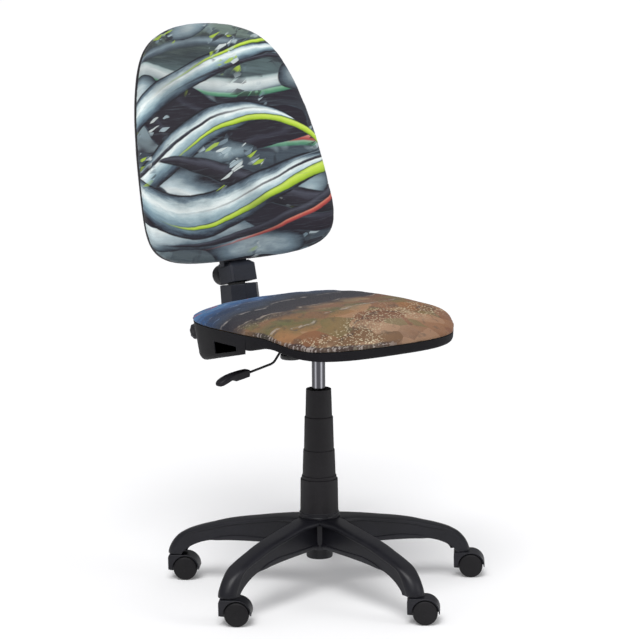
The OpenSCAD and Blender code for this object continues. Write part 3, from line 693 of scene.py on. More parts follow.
def seat_print():
    """Generic print of warped bands in blue, slate, ochre and brown with pale specks."""
    k = Look("seat_print_fabric")
    x, y = k.dot(k.co, (1, 0, 0)), k.dot(k.co, (0, 1, 0))
    big = k.noise(5.2, 3, 0.5, v=k.xyz(x, y, 0.37))
    mid = k.noise(16, 4, 0.55, v=k.xyz(x, y, 1.9))
    tiny = k.noise(120, 4, 0.65, v=k.xyz(x, y, 4.1))
    s = k.add(y, k.mul(x, -0.16))
    s = k.add(s, k.mul(k.sub(big, 0.5), 0.17))
    s2 = k.add(s, k.mul(k.sub(mid, 0.5), 0.05))
    t = k.m("DIVIDE", k.add(s2, 0.27), 0.49)
    t = k.add(t, k.mul(k.sub(tiny, 0.5), 0.06))
    col = k.ramp(t, [(0.0, lin(78, 60, 50)), (0.07, lin(128, 98, 76)), (0.14, lin(152, 122, 96)), (0.21, lin(112, 82, 56)),
                     (0.29, lin(146, 106, 70)), (0.36, lin(96, 90, 58)), (0.43, lin(124, 92, 62)), (0.475, lin(82, 66, 56)),
                     (0.52, lin(38, 33, 41)), (0.63, lin(24, 24, 36)), (0.68, lin(40, 50, 68)), (0.74, lin(24, 46, 76)),
                     (0.81, lin(38, 84, 134)), (0.90, lin(66, 116, 160)), (1.0, lin(36, 66, 112))])
    col = k.mix(k.mul(k.mul(k.step(x, 0.02, 0.17), k.step(t, 0.54, 0.46)), 0.6), col, lin(134, 86, 46))
    # uneven plots of ground
    plot = k.new("ShaderNodeSeparateColor")
    k.put(plot.inputs[0], k.cells(17, v=k.xyz(k.add(x, k.mul(k.sub(mid, 0.5), 0.05)), k.mul(k.add(y, k.mul(k.sub(big, 0.5), 0.06)), 1.7), 0.0),
                                  out="Color"))
    ground = k.step(t, 0.52, 0.44)
    col = k.mix(k.mul(k.mul(k.step(plot.outputs[0], 0.62, 0.64), ground), 0.5), col, lin(92, 94, 56))
    col = k.mix(k.mul(k.mul(k.step(plot.outputs[1], 0.70, 0.72), ground), 0.35), col, lin(170, 136, 108))
    col = k.mix(k.mul(k.mul(k.step(plot.outputs[2], 0.74, 0.76), ground), 0.55), col, lin(108, 64, 42))
    col = k.mix(k.mul(k.mul(k.step(k.noise(44, 4, 0.6, v=k.xyz(x, y, 7.7)), 0.54, 0.66), ground), 0.5), col, lin(74, 62, 50))
    blue = k.step(t, 0.66, 0.74)
    col = k.mix(k.mul(k.mul(k.step(k.noise(1, 4, 0.6, v=k.xyz(k.mul(x, 30), k.mul(s, 130), 0.0)), 0.52, 0.64), blue), 0.6), col,
                lin(36, 48, 76))
    col = k.mix(k.mul(k.mul(k.step(k.noise(1, 4, 0.6, v=k.xyz(k.mul(x, 22), k.mul(s, 90), 5.0)), 0.56, 0.68), blue), 0.5), col,
                lin(132, 156, 190))
    for level, half, tint, amount in ((0.040, 0.0030, lin(150, 144, 142), 0.8), (0.0465, 0.0012, lin(70, 72, 80), 0.9),
                                      (-0.02, 0.0020, lin(172, 160, 146), 0.7), (-0.0255, 0.0009, lin(74, 64, 60), 0.8),
                                      (0.098, 0.0022, lin(118, 126, 142), 0.7), (-0.10, 0.0030, lin(166, 156, 148), 0.8),
                                      (-0.1055, 0.0010, lin(66, 62, 66), 0.9), (-0.165, 0.0022, lin(50, 42, 42), 0.85),
                                      (0.176, 0.0060, lin(168, 52, 60), 0.9), (0.148, 0.0016, lin(150, 166, 192), 0.6)):
        d = k.m("ABSOLUTE", k.sub(k.add(s, k.mul(k.sub(tiny, 0.5), 0.006)), level))
        gaps = k.step(k.noise(1, 3, 0.6, v=k.xyz(k.mul(x, 34), k.mul(y, 60), level * 90)), 0.44, 0.56)
        col = k.mix(k.mul(k.mul(k.step(d, half - 0.001, half + 0.001, 1.0, 0.0), gaps), amount * 0.75), col, tint)
    # clusters of pale and dark specks
    dots = k.cells(170, v=k.xyz(x, k.mul(y, 1.8), 0.0))
    where = k.add(k.mul(k.step(k.noise(7, 3, v=k.xyz(x, y, 12.5)), 0.53, 0.58), k.step(x, 0.13, 0.02)),
                  k.mul(k.step(s, -0.135, -0.150), k.step(s, -0.215, -0.195)))
    spots = k.mul(k.step(dots, 0.30, 0.42, 1.0, 0.0), k.mul(where, ground), )
    col = k.mix(k.mul(spots, 0.6), col, lin(204, 190, 160))
    dots2 = k.cells(230, v=k.xyz(k.add(x, 0.31), k.mul(y, 1.5), 0.0))
    col = k.mix(k.mul(k.mul(k.step(dots2, 0.2, 0.3, 1.0, 0.0), k.step(k.noise(12, 2, v=k.xyz(x, y, 3.3)), 0.46, 0.56)), 0.6), col,
                lin(46, 40, 38))
    # dark border with pale dashes along the front edge on one side
    ex = k.m("POWER", k.m("ABSOLUTE", k.mul(x, 1 / 0.243)), 2.94)
    ey = k.m("POWER", k.m("ABSOLUTE", k.mul(k.add(y, 0.017), 1 / 0.233)), 2.94)
    near = k.add(k.add(ex, ey), k.mul(k.sub(mid, 0.5), 0.25))
    side = k.mul(k.step(x, 0.03, -0.05), k.step(y, -0.05, -0.12))
    border = k.mul(k.mul(k.step(near, 0.91, 0.96), side), 0.8)
    col = k.mix(border, col, lin(40, 34, 38))
    dash = k.cells(190, v=k.xyz(k.sub(x, k.mul(y, 0.6)), k.mul(y, 2.4), 3.0), out="Color")
    one = k.new("ShaderNodeSeparateColor")
    k.put(one.inputs[0], dash)
    col = k.mix(k.mul(k.mul(k.step(one.outputs[0], 0.76, 0.80), border), 0.7), col, lin(180, 170, 164))
    return woven(k, x, y, col)


BACK_PRINT = back_print()
SEAT_PRINT = seat_print()

LINING = Look("black_lining")
_f = LINING.noise(700, 3)
LINING.set(Base_Color=LINING.mix(_f, lin(20, 20, 22), lin(42, 42, 45)), Roughness=LINING.step(_f, 0.3, 0.7, 0.8, 0.92),
           Normal=LINING.bump(_f, 0.35, 0.0004))
LINING = LINING.mat


# ---------------------------------------------------------------- stage, light, camera

def stage():
    s = 60.0
    ob = solid("floor", [(-s, -s, 0), (s, -s, 0), (s, s, 0), (-s, s, 0)], [(0, 1, 2, 3)], 1.0)
    k = Look("pale_floor")
    n = k.noise(1.5, 3)
    k.set(Base_Color=k.mix(n, (0.84, 0.84, 0.845, 1), (0.87, 0.87, 0.875, 1)),
          Roughness=k.step(n, 0.2, 0.8, 0.75, 0.85), Normal=k.bump(k.noise(300, 2), 0.02, 0.0005))
    k.b.inputs["Specular IOR Level"].default_value = 0.0
    k.b.inputs["Emission Color"].default_value = (1, 1, 1, 1)
    k.b.inputs["Emission Strength"].default_value = 0.12
    ob.data.materials.append(k.mat)


def lamp(name, where, target, size, power, sy=None):
    d = bpy.data.lights.new(name, "AREA")
    d.shape = "RECTANGLE"
    d.size, d.size_y = size, sy or size
    d.energy = power
    o = bpy.data.objects.new(name, d)
    o.location = where
    o.rotation_euler = (Vector(target) - Vector(where)).to_track_quat("-Z", "Y").to_euler()
    scene.collection.objects.link(o)


def sun(name, towards, strength, angle):
    d = bpy.data.lights.new(name, "SUN")
    d.energy = strength
    d.angle = rad(angle)
    o = bpy.data.objects.new(name, d)
    o.location = (0, 0, 4)
    o.rotation_euler = Vector(towards).to_track_quat("-Z", "Y").to_euler()
    scene.collection.objects.link(o)


def light():
    w = bpy.data.worlds.new("studio")
    scene.world = w
    w.use_nodes = True
    t = w.node_tree
    t.nodes.clear()
    out = t.nodes.new("ShaderNodeOutputWorld")
    bg = t.nodes.new("ShaderNodeBackground")
    co = t.nodes.new("ShaderNodeTexCoord")
    sep = t.nodes.new("ShaderNodeSeparateXYZ")
    ramp = t.nodes.new("ShaderNodeValToRGB")
    e = ramp.color_ramp.elements
    e[0].position, e[0].color = 0.0, (0.16, 0.16, 0.165, 1)
    e[1].position, e[1].color = 1.0, (0.62, 0.62, 0.63, 1)
    m = e.new(0.3)
    m.color = (0.34, 0.34, 0.35, 1)
    t.links.new(co.outputs["Generated"], sep.inputs[0])
    t.links.new(sep.outputs["Z"], ramp.inputs[0])
    t.links.new(ramp.outputs[0], bg.inputs[0])
    bg.inputs[1].default_value = 1.0
    t.links.new(bg.outputs[0], out.inputs[0])
    sun("key", (0.50, 0.42, -1.0), 2.1, 34)
    lamp("fill", (2.2, -3.9, 2.3), (0, 0, 0.7), 1.6, 32)
    lamp("strip", (-3.2, -1.0, 1.9), (0, 0, 0.6), 0.3, 3, 2.0)


def camera():
    a, p, roll = rad(-38.0), rad(9.41), rad(-0.35)
    R = Vector((math.cos(a), math.sin(a), 0))
    F = Vector((-math.sin(a) * math.cos(p), math.cos(a) * math.cos(p), -math.sin(p)))
    U = Vector((-math.sin(a) * math.sin(p), math.cos(a) * math.sin(p), math.cos(p)))
    c, s = math.cos(roll), math.sin(roll)
    R2, U2 = c * R + s * U, c * U - s * R
    d = bpy.data.cameras.new("camera")
    d.lens, d.sensor_width = 142.26, 36.0
    d.shift_x, d.shift_y = 0.00297, -0.00828
    d.clip_end = 200
    o = bpy.data.objects.new("camera", d)
    o.matrix_world = Matrix(((R2.x, U2.x, -F.x, -3.1387), (R2.y, U2.y, -F.y, -4.0172),
                             (R2.z, U2.z, -F.z, 1.422), (0, 0, 0, 1)))
    scene.collection.objects.link(o)
    scene.camera = o


camera()
light()
stage()
scene.view_settings.view_transform = "Standard"
scene.view_settings.look = "None"


# ---------------------------------------------------------------- star base

BASE_TURN = -1.4
CIRCLE = 316.5
LEG = [270 + BASE_TURN + 72 * i for i in range(5)]

leg_top = [(30, 157), (60, 156.4), (95, 152.8), (134, 147), (172, 141.2), (205, 134.6), (231, 127.4),
           (262, 118.4), (289, 108.4), (308, 97.4), (320.8, 84.6), (329.4, 70.4), (333, 60), (333.4, 55.6)]
leg_low = [(30, 97.2), (60, 97), (93, 96.8), (127, 96.5), (160, 95.8), (192, 94.5), (215, 92.6),
           (236, 90.8), (254, 86.2), (270, 79.6), (281, 73.4), (290.6, 66.4), (296.6, 60.4), (299, 55.6)]


def leg_rings():
    rings = []
    T, B = catmull(leg_top, 66), catmull(leg_low, 66)
    for t, b in zip(T, B):
        r = t[0]
        H = float(np.hypot(*(b - t)))
        dr, dz = (b - t) / H
        hw = lerp(24, 20, clamp((r - 28) / 286))
        toe = smooth(286, 330, r)
        e = lerp(7.5, 19.0, toe)
        wt = hw + 7.5 * smooth(84, 40, r)
        rec = lerp(2.4, 0.8, smooth(250, 318, r))
        wp = hw - rec
        lip = table([30, 120, 180, 225, 258, 400], [8, 9, 11.5, 8, 0.6, 0.6], r)
        up = table([30, 258, 300, 333], [0, 0, 0.4, 1.0], r)
        wl = hw - (0 if r < 240 else lerp(0, rec, smooth(240, 262, r)))
        half = [(0, 0)]
        for q in range(1, 7):
            th = rad(15 * q)
            half.append((wt * math.sin(th) ** lerp(0.72, 1.0, toe), e * (1 - math.cos(th))))
        side = e
        room = max(1.0, H - side - lip)
        half += [(wt, side + min(2.2, room * 0.12)), (wt - 0.5, side + min(3.3, room * 0.18)),
                 (wp + 0.3, side + min(4.3, room * 0.24)), (wp, side + min(5.6, room * 0.31)),
                 (wp, side + room * 0.5), (wp, side + room * 0.8), (wp + 0.2, H - lip - 0.6),
                 (wl - 0.3, H - lip + 0.5), (wl, H - lip * 0.75), (wl, H - min(1.2, lip * 0.3)),
                 (wl - 0.9, H), (wl - 3.0, H), (wl - 3.5, H - min(1.0, lip * 0.3))]
        deep = min(side + 5.0, H - 3.0)
        half += [(wp - 3.6, deep + (H - deep) * 0.4), (wp - 4.4, deep + 1.2), (wp - 8, deep), (0, deep)]
        ring = half + [(-y, d) for y, d in half[-2:0:-1]]
        rings.append([(t[0] + dr * d, y, t[1] + dz * d) for y, d in ring])
    return rings


def star_base():
    parts = []
    rings = leg_rings()
    for n, A in enumerate(LEG):
        c, s = math.cos(rad(A)), math.sin(rad(A))
        turn = lambda p: (p[0] * c - p[1] * s, p[0] * s + p[1] * c, p[2])
        parts.append(loft("leg%d" % n, rings, place=turn))
        # caster socket boss and cross ribs inside the leg
        boss = lathe("boss%d" % n, [(5.6, 55.8), (8.6, 55.8), (9.2, 56.6), (9.2, 65), (5.6, 65)], 48,
                     place=lambda p: turn((p[0] + CIRCLE, p[1], p[2])))
        parts.append(boss)
        for r0, top in ((120, 141), (200, 128)):
            parts.append(box("rib%d_%d" % (n, r0), (r0, -17.5, 99), (r0 + 2.6, 17.5, top), place=turn))
        # upright fillet between two legs
        M = A + 36
        cm, sm = math.cos(rad(M)), math.sin(rad(M))
        ringsf = []
        for z, w, R in ((92.5, 7.2, 42.2), (96, 7.4, 43.4), (110, 7.8, 43.6), (130, 8.8, 43.6), (146, 9.8, 43.6), (151, 10.4, 42.6)):
            pts = [(30, -w - 3), (R - 3.2, -w - 1.2), (R - 0.9, -w + 0.4), (R - 0.1, -w * 0.5), (R, 0), (R - 0.1, w * 0.5),
                   (R - 0.9, w - 0.4), (R - 3.2, w + 1.2), (30, w + 3)]
            ringsf.append([(a * cm - b * sm, a * sm + b * cm, z) for a, b in pts])
        parts.append(loft("fillet%d" % n, ringsf))
    hub = lathe("hub", [(25.1, 69), (25.6, 69), (26.6, 69.8), (27.3, 72), (27.8, 90), (28.6, 91.6), (31, 92), (36.6, 92),
                        (37.8, 92.6), (38.3, 94), (39.4, 120), (40.2, 146), (41.4, 151.5), (42.4, 155), (42.6, 158),
                        (42.2, 159.4), (41.5, 160), (41.3, 161), (41.3, 164.6), (40.9, 165.6), (40.0, 166), (25.1, 166)], 120)
    parts.append(hub)
    ob = join("base_star", *parts)
    piece(ob, BASE_NYLON, "nylon", "base", "star_base", angle=40)


star_base()


# ---------------------------------------------------------------- column and telescopic cover

def column():
    # [name, body, [outer profile], wall]
    def stage_piece(n, body, top, seen, low, r_top, r_seen, r_flange, lip):
        wall = 1.1
        prof = [(r_flange - wall, low), (r_flange, low), (r_flange, low + 2.4), (r_seen, low + 3.6)]
        for q in range(1, 9):
            f = q / 8
            prof.append((lerp(r_seen, r_top, f), lerp(low + 3.6, top - 1.4, f)))
        prof += [(r_top - 0.25, top - 0.6), (r_top - 0.9, top - 0.08), (r_top - 1.6, top), (lip + 0.4, top),
                 (lip, top - 0.4), (lip, top - 1.8), (r_top - wall - 0.2, top - 2.2)]
        prof.append((r_seen - wall, low + 3.8))
        ob = lathe("cover_%s" % n, prof, 120)
        return piece(ob, COVER_NYLON, "nylon", body, "cover_stage_%s" % n, angle=30)

    stage_piece("1", "cover_1", 424, 366, 352, 26.0, 27.9, 28.4, 14.6)
    stage_piece("2", "cover_2", 366, 297, 284, 29.4, 31.2, 31.9, 28.1)
    stage_piece("3", "cover_3", 297, 243, 227, 32.5, 34.6, 35.3, 31.4)
    stage_piece("4", "cover_4", 243, 236, 173, 35.9, 37.3, 37.9, 34.8)
    stage_piece("5", "base", 236, 166, 166.2, 38.5, 39.4, 39.7, 36.4)
    rod = lathe("lift_cylinder", [(0, 268), (13.2, 268), (14.0, 268.8), (14.0, 300), (14.0, 340), (14.0, 380), (14.0, 420), (14.0, 460),
                                  (14.0, 494), (13.95, 496), (13.5, 532), (13.0, 540), (3.2, 540.5), (0, 540.5)], 120)
    piece(rod, CHROME, "chrome", "seat", "gas_cylinder", angle=30)


column()


# ---------------------------------------------------------------- casters

def casters():
    D = rad(-41.5)
    cd, sd = math.cos(D), math.sin(D)
    TR, WR = 20.0, 25.0

    def arc(r, a0, a1, n, cx=TR, cy=WR):
        return [(cx + r * math.cos(rad(lerp(a0, a1, k / n))), cy + r * math.sin(rad(lerp(a0, a1, k / n)))) for k in range(n + 1)]

    fender = [(-15.6, 22.2)] + [(-15.8, 34), (-16, 46.5)] + arc(6, 172, 96, 5, -10, 48.2) + [(-8, 54.2), (6, 54.2)]
    fender += [(14, 54.05)] + arc(29.2, 84, -5, 22)
    fender += arc(26.7, -1, 176, 44) + [(-10.6, 25.0), (-12.6, 22.6)]
    web = [(-15, 17), (-15, 50), (-9, 53.9), (12, 53.9)] + arc(29.0, 88, 0, 16) + arc(11, -20, -150, 8) + [(2, 16)]

    for i in range(5):
        A = rad(LEG[i])
        cx, cy = CIRCLE * math.cos(A), CIRCLE * math.sin(A)
        at = lambda u, w, z: (cx + u * cd - w * sd, cy + u * sd + w * cd, z)
        up = lambda p: at(p[0], p[2], p[1])
        n = i + 1
        a = bevel(prism("fender", fender, -24.2, 24.2, up), 1.1, 3, 40)
        b = bevel(prism("web", web, -7.4, 7.4, up), 0.9, 2, 40)
        ring = lathe("collar", [(5.6, 53), (10.5, 53), (10.5, 54.7), (9.9, 55.3), (5.6, 55.3)], 40,
                     place=lambda p: at(p[0], p[1], p[2]))
        ob = join("caster_%d_fork" % n, a, b, ring)
        piece(ob, BASE_NYLON, "nylon", "caster_%d" % n, "caster_%d_hood" % n, angle=32)
        for side, s in (("a", 1), ("b", -1)):
            prof = [(4.1, 8.1), (10, 8.1), (10.6, 8.9), (21.4, 8.9), (22, 8.1), (23.4, 8.1), (24.4, 8.5), (24.9, 9.4),
                    (25.0, 10.6), (25.0, 15), (25.0, 19.6), (24.9, 21.2), (24.4, 22.7), (23.6, 23.8), (22.9, 24.35),
                    (22.4, 24.2), (22.1, 24.0), (21.8, 24.25), (21.3, 24.6), (18, 25.3), (14, 25.9), (9, 26.4), (5.4, 26.6),
                    (5.0, 26.35), (4.6, 26.4), (2.5, 26.7), (0, 26.75), (0, 23.0), (4.1, 23.0)]
            # the two ends lie off the axis, so the disc is closed with its own profile
            outer = prof[:-3] + [(0, 26.75)]
            body = lathe("wheel", [(0, 8.3), (4.1, 8.3)] + outer[1:], 96,
                         place=lambda p, s=s: at(TR + p[0], s * p[2], WR + p[1]))
            piece(body, WHEEL_NYLON, "wheel_nylon", "caster_%d_%s" % (n, side), "caster_%d_wheel_%s" % (n, side), angle=34)


casters()


# ---------------------------------------------------------------- seat

SEAT_W, SEAT_D, SEAT_N, SEAT_Z, SEAT_DROP, SEAT_CY = 486.0, 466.0, 2.94, 570.0, 23.0, -17.0


def seat_xy(t, inset=0.0, s=1.0):
    return ((SEAT_W / 2 - inset) * spow(math.cos(t), 2 / SEAT_N) * s,
            SEAT_CY + (SEAT_D / 2 - inset) * spow(math.sin(t), 2 / SEAT_N) * s)


def seat_line(y):
    return SEAT_Z - SEAT_DROP * smooth(0, 1, (-112 - y) / 108)


def pan_floor(y):
    front = seat_line(y) - 18.5
    rear = max(489.5, 534 - (y + 76) * 45 / 198)
    # the tub's bottom turns softly at its rear end
    k = smooth(-81, -74, y)
    return lerp(front, rear, k)


def even_angles(n, f):
    """Angles that space the points of an outline evenly."""
    raw = [2 * math.pi * k / 2880 for k in range(2881)]
    pts = np.array([f(t) for t in raw])
    L = np.concatenate([[0], np.cumsum(np.hypot(*np.diff(pts, axis=0).T))])
    return [float(np.interp(L[-1] * k / n, L, raw)) for k in range(n)]


def outline_normals(f, ts):
    out = []
    for t in ts:
        a, b = np.array(f(t - 0.004)), np.array(f(t + 0.004))
        d = b - a
        d /= max(1e-9, float(np.hypot(*d)))
        out.append((d[1], -d[0]))
    return out


V_SLOPE = 1.35


def pan_form(name, inset, deep, top, lift, tuck):
    """Closed outer or inner form of the pan; deep gives the tub from which the two pods are cut."""
    N = 300
    f = lambda t: seat_xy(t, inset)
    ts = even_angles(N, f)
    nrm = outline_normals(f, ts)

    def low(y):
        if not deep:
            return seat_line(y) - table([-260, -236, -205, -150, -141, -125, -107, -94, -87, -76, -60, 260],
                                        [20.4, 20.2, 18.2, 17, 17.4, 20.0, 24.0, 27.0, 29.2, 30.6, 31, 31], y) + lift
        return max(489.5, 534 - (y + 76) * 45 / 198) + lift

    def draft(y0):
        return math.tan(rad(lerp(3.0, 9.5, smooth(-120, 60, y0))))

    def fil(y0):
        return 6.5 if not deep else lerp(7.0, 17.0, smooth(-90, 40, y0))

    def extra(y0):
        return tuck * smooth(-84, -60, y0)

    rings = [[] for _ in range(18)]
    for t, nn in zip(ts, nrm):
        x0, y0 = f(t)
        zt = seat_line(y0) - 0.3
        total = zt - low(y0)
        rf = fil(y0)
        d = total - rf
        for q in range(9):
            k = q / 8
            off = d * k * draft(y0) + extra(y0)
            rings[q].append((x0 - nn[0] * off, y0 - nn[1] * off, zt - d * k + (top if q == 0 else 0)))
        for q in range(1, 9):
            ph = rad(90 * q / 8)
            off = d * draft(y0) + rf * (1 - math.cos(ph)) + extra(y0)
            x, y = x0 - nn[0] * off, y0 - nn[1] * off
            z = lerp(low(y0), low(y), smooth(0, 1, q / 8))
            rings[8 + q].append((x, y, lerp(zt - d, z, math.sin(ph))))
    rings.pop()
    last = rings[-1]
    for k in (0.93, 0.85, 0.75, 0.62, 0.48, 0.32, 0.16, 0.03):
        rings.append([(x * k, SEAT_CY + (y - SEAT_CY) * k, low(SEAT_CY + (y - SEAT_CY) * k)) for x, y, z in last])
    first = rings[0]
    lid = []
    for k in (0.03, 0.3, 0.6, 0.85):
        lid.append([(x * k, SEAT_CY + (y - SEAT_CY) * k, seat_line(SEAT_CY + (y - SEAT_CY) * k) - 0.3 + top) for x, y, z in first])
    return loft(name, lid + rings)


def pan_whole(name, inset, top, lift, tuck, wall):
    parts = [pan_form(name, inset, False, top, lift, tuck)]
    for s in (-1, 1):
        pod = pan_form("pod", inset, True, top + 0.05, lift, 0.0)
        clip(pod, ((s * 242, -76 + wall * math.hypot(1, V_SLOPE), 500), (-s * V_SLOPE, -1, 0)))
        parts.append(pod)
    return cut(parts[0], *parts[1:], op="UNION")


def seat_pan():
    ob = pan_whole("seat_tub", 0.8, 0.0, 0.0, 1.0, 0.0)
    ob = cut(ob, pan_whole("pan_inner", 3.6, 8.0, 2.8, 0.6, 2.8))
    slots = [prism("slot", [(-42, 534.6), (-42, 544), (38, 544), (38, 517.5)], s * 245 - 18, s * 245 + 18,
                   lambda p: (p[2], p[0], p[1])) for s in (-1, 1)]
    cut(ob, *slots, box("opening", (-77, -92, 470), (77, 92, 562), r=10))
    ob = bevel(ob, 0.8, 2, 42)
    posts = []
    for x, y in ((150, 130), (-150, 130), (150, -170), (-150, -170)):
        z0 = 490.5 if y > 0 else seat_line(y) - 17.6
        z1 = seat_line(y) - 9.2 - (2.4 if y < 0 else 0)
        posts.append(lathe("post", [(4.6, z0), (6.6, z0), (6.3, z1), (4.6, z1)], 32,
                           place=lambda p, x=x, y=y: (p[0] + x, p[1] + y, p[2])))
    ob = join("seat_tub", ob, *posts)
    piece(ob, PAN_NYLON, "nylon", "seat", "seat_pan", angle=36)


seat_pan()


def puff(ob, voxel, pressure, cap, hold, pucker, frames=20):
    """Let a closed form swell a little under its own filling, held where hold(co) says."""
    form = ob.copy()
    form.data = ob.data.copy()
    scene.collection.objects.link(form)
    m = ob.modifiers.new("remesh", "REMESH")
    m.mode = "VOXEL"
    m.voxel_size = voxel
    bake(ob)
    m = ob.modifiers.new("smooth", "SMOOTH")
    m.factor, m.iterations = 0.5, 3
    bake(ob)
    m = ob.modifiers.new("wrap", "SHRINKWRAP")
    m.target = form
    m.wrap_method = "NEAREST_SURFACEPOINT"
    bake(ob)
    old = form.data
    bpy.data.objects.remove(form)
    bpy.data.meshes.remove(old)
    me = ob.data
    n = len(me.vertices)
    rest = np.empty(n * 3)
    me.vertices.foreach_get("co", rest)
    rest = rest.reshape(-1, 3)
    held = np.array([hold(p / MM) for p in rest])
    move = np.zeros_like(rest)
    g = ob.vertex_groups.new(name="held")
    for i in np.nonzero(held > 0)[0]:
        g.add([int(i)], float(held[i]), "REPLACE")
    c = ob.modifiers.new("cloth", "CLOTH")
    s = c.settings
    s.quality = 5
    s.mass = 0.3
    s.tension_stiffness = 25
    s.compression_stiffness = 25
    s.shear_stiffness = 10
    s.bending_stiffness = 2.0
    s.use_pressure = True
    s.uniform_pressure_force = pressure
    s.effector_weights.gravity = 0
    s.vertex_group_mass = "held"
    c.collision_settings.use_collision = False
    c.point_cache.frame_start, c.point_cache.frame_end = 1, frames
    for k in range(1, frames + 1):
        scene.frame_set(k)
    dg = bpy.context.evaluated_depsgraph_get()
    ev = ob.evaluated_get(dg).to_mesh()
    now = np.empty(n * 3)
    ev.vertices.foreach_get("co", now)
    ob.evaluated_get(dg).to_mesh_clear()
    now = now.reshape(-1, 3)
    ob.modifiers.remove(c)
    scene.frame_set(1)
    move = now - rest
    L = np.linalg.norm(move, axis=1, keepdims=True)
    print("puff %s: mean %.2f mm, most %.2f mm before the cap" % (ob.name, L.mean() * 1000, L.max() * 1000))
    move *= np.minimum(1.0, cap / np.maximum(L, 1e-9))
    ends = np.empty(len(me.edges) * 2, int)
    me.edges.foreach_get("vertices", ends)
    ends = ends.reshape(-1, 2)
    deg = np.bincount(ends.ravel(), minlength=n).reshape(-1, 1)
    for _ in range(6):
        acc = np.zeros_like(move)
        np.add.at(acc, ends[:, 0], move[ends[:, 1]])
        np.add.at(acc, ends[:, 1], move[ends[:, 0]])
        move = 0.5 * move + 0.5 * acc / np.maximum(deg, 1)
    ob.vertex_groups.clear()
    # small pulls of the cover where it is drawn round the edge
    normals = np.empty(n * 3)
    me.vertices.foreach_get("normal", normals)
    normals = normals.reshape(-1, 3)
    amount = np.array([pucker(p / MM) for p in rest]).reshape(-1, 1)
    now = rest + move + normals * amount * MM
    me.vertices.foreach_set("co", now.ravel())
    me.update()
    m = ob.modifiers.new("subdivide", "SUBSURF")
    m.levels = m.render_levels = 1
    bake(ob)
    return ob


def ripple(a, seed):
    """Uneven wave of about unit height along an edge, for an angle round it."""
    return (math.sin(23 * a + seed) * 0.5 + math.sin(37 * a + 1.7 * seed) * 0.32 + math.sin(11 * a + 0.6 * seed) * 0.4)


def seat_cushion():
    N = 220
    ts = even_angles(N, lambda t: seat_xy(t, 0))

    def top(x, y, s):
        return seat_line(y) + 4.5 + 27.6 * max(0.0, 1 - s ** 5.7) ** 0.70

    def put(inset, s, dz):
        rings.append([(*seat_xy(t, inset, s), seat_line(seat_xy(t, inset, s)[1]) + dz) for t in ts])

    rings = []
    for s in (0.2, 0.5, 0.8):
        put(5.5, s, 0.2)
    for inset, dz in ((4.5, 0.1), (0.9, 0.0), (-0.2, 0.8), (-0.9, 2.6), (-0.9, 4.6)):
        put(inset, 1.0, dz)
    for s in (0.998, 0.994, 0.988, 0.98, 0.968, 0.952, 0.93, 0.90, 0.86, 0.81, 0.74, 0.66, 0.56, 0.45, 0.33, 0.2, 0.08):
        r = []
        for t in ts:
            x, y = seat_xy(t, -0.9, s)
            r.append((x, y, top(x, y, s)))
        rings.append(r)
    ob = loft("seat_cushion", rings)

    def pucker(p):
        h = p[2] - seat_line(p[1])
        if h < 1.5:
            return 0.0
        a = math.atan2(p[1] - SEAT_CY, p[0])
        return 0.55 * ripple(a, 0.8) * smooth(1.5, 5, h) * smooth(22, 6, h)

    ob = puff(ob, 0.005, 4.0, 0.004, lambda p: 1.0 if p[2] < seat_line(p[1]) + 5.0 else 0.0, pucker)
    piece(ob, SEAT_PRINT, "seat_fabric", "seat", "seat_pad", angle=80, weighted=False)


seat_cushion()


# ---------------------------------------------------------------- mechanism and lever

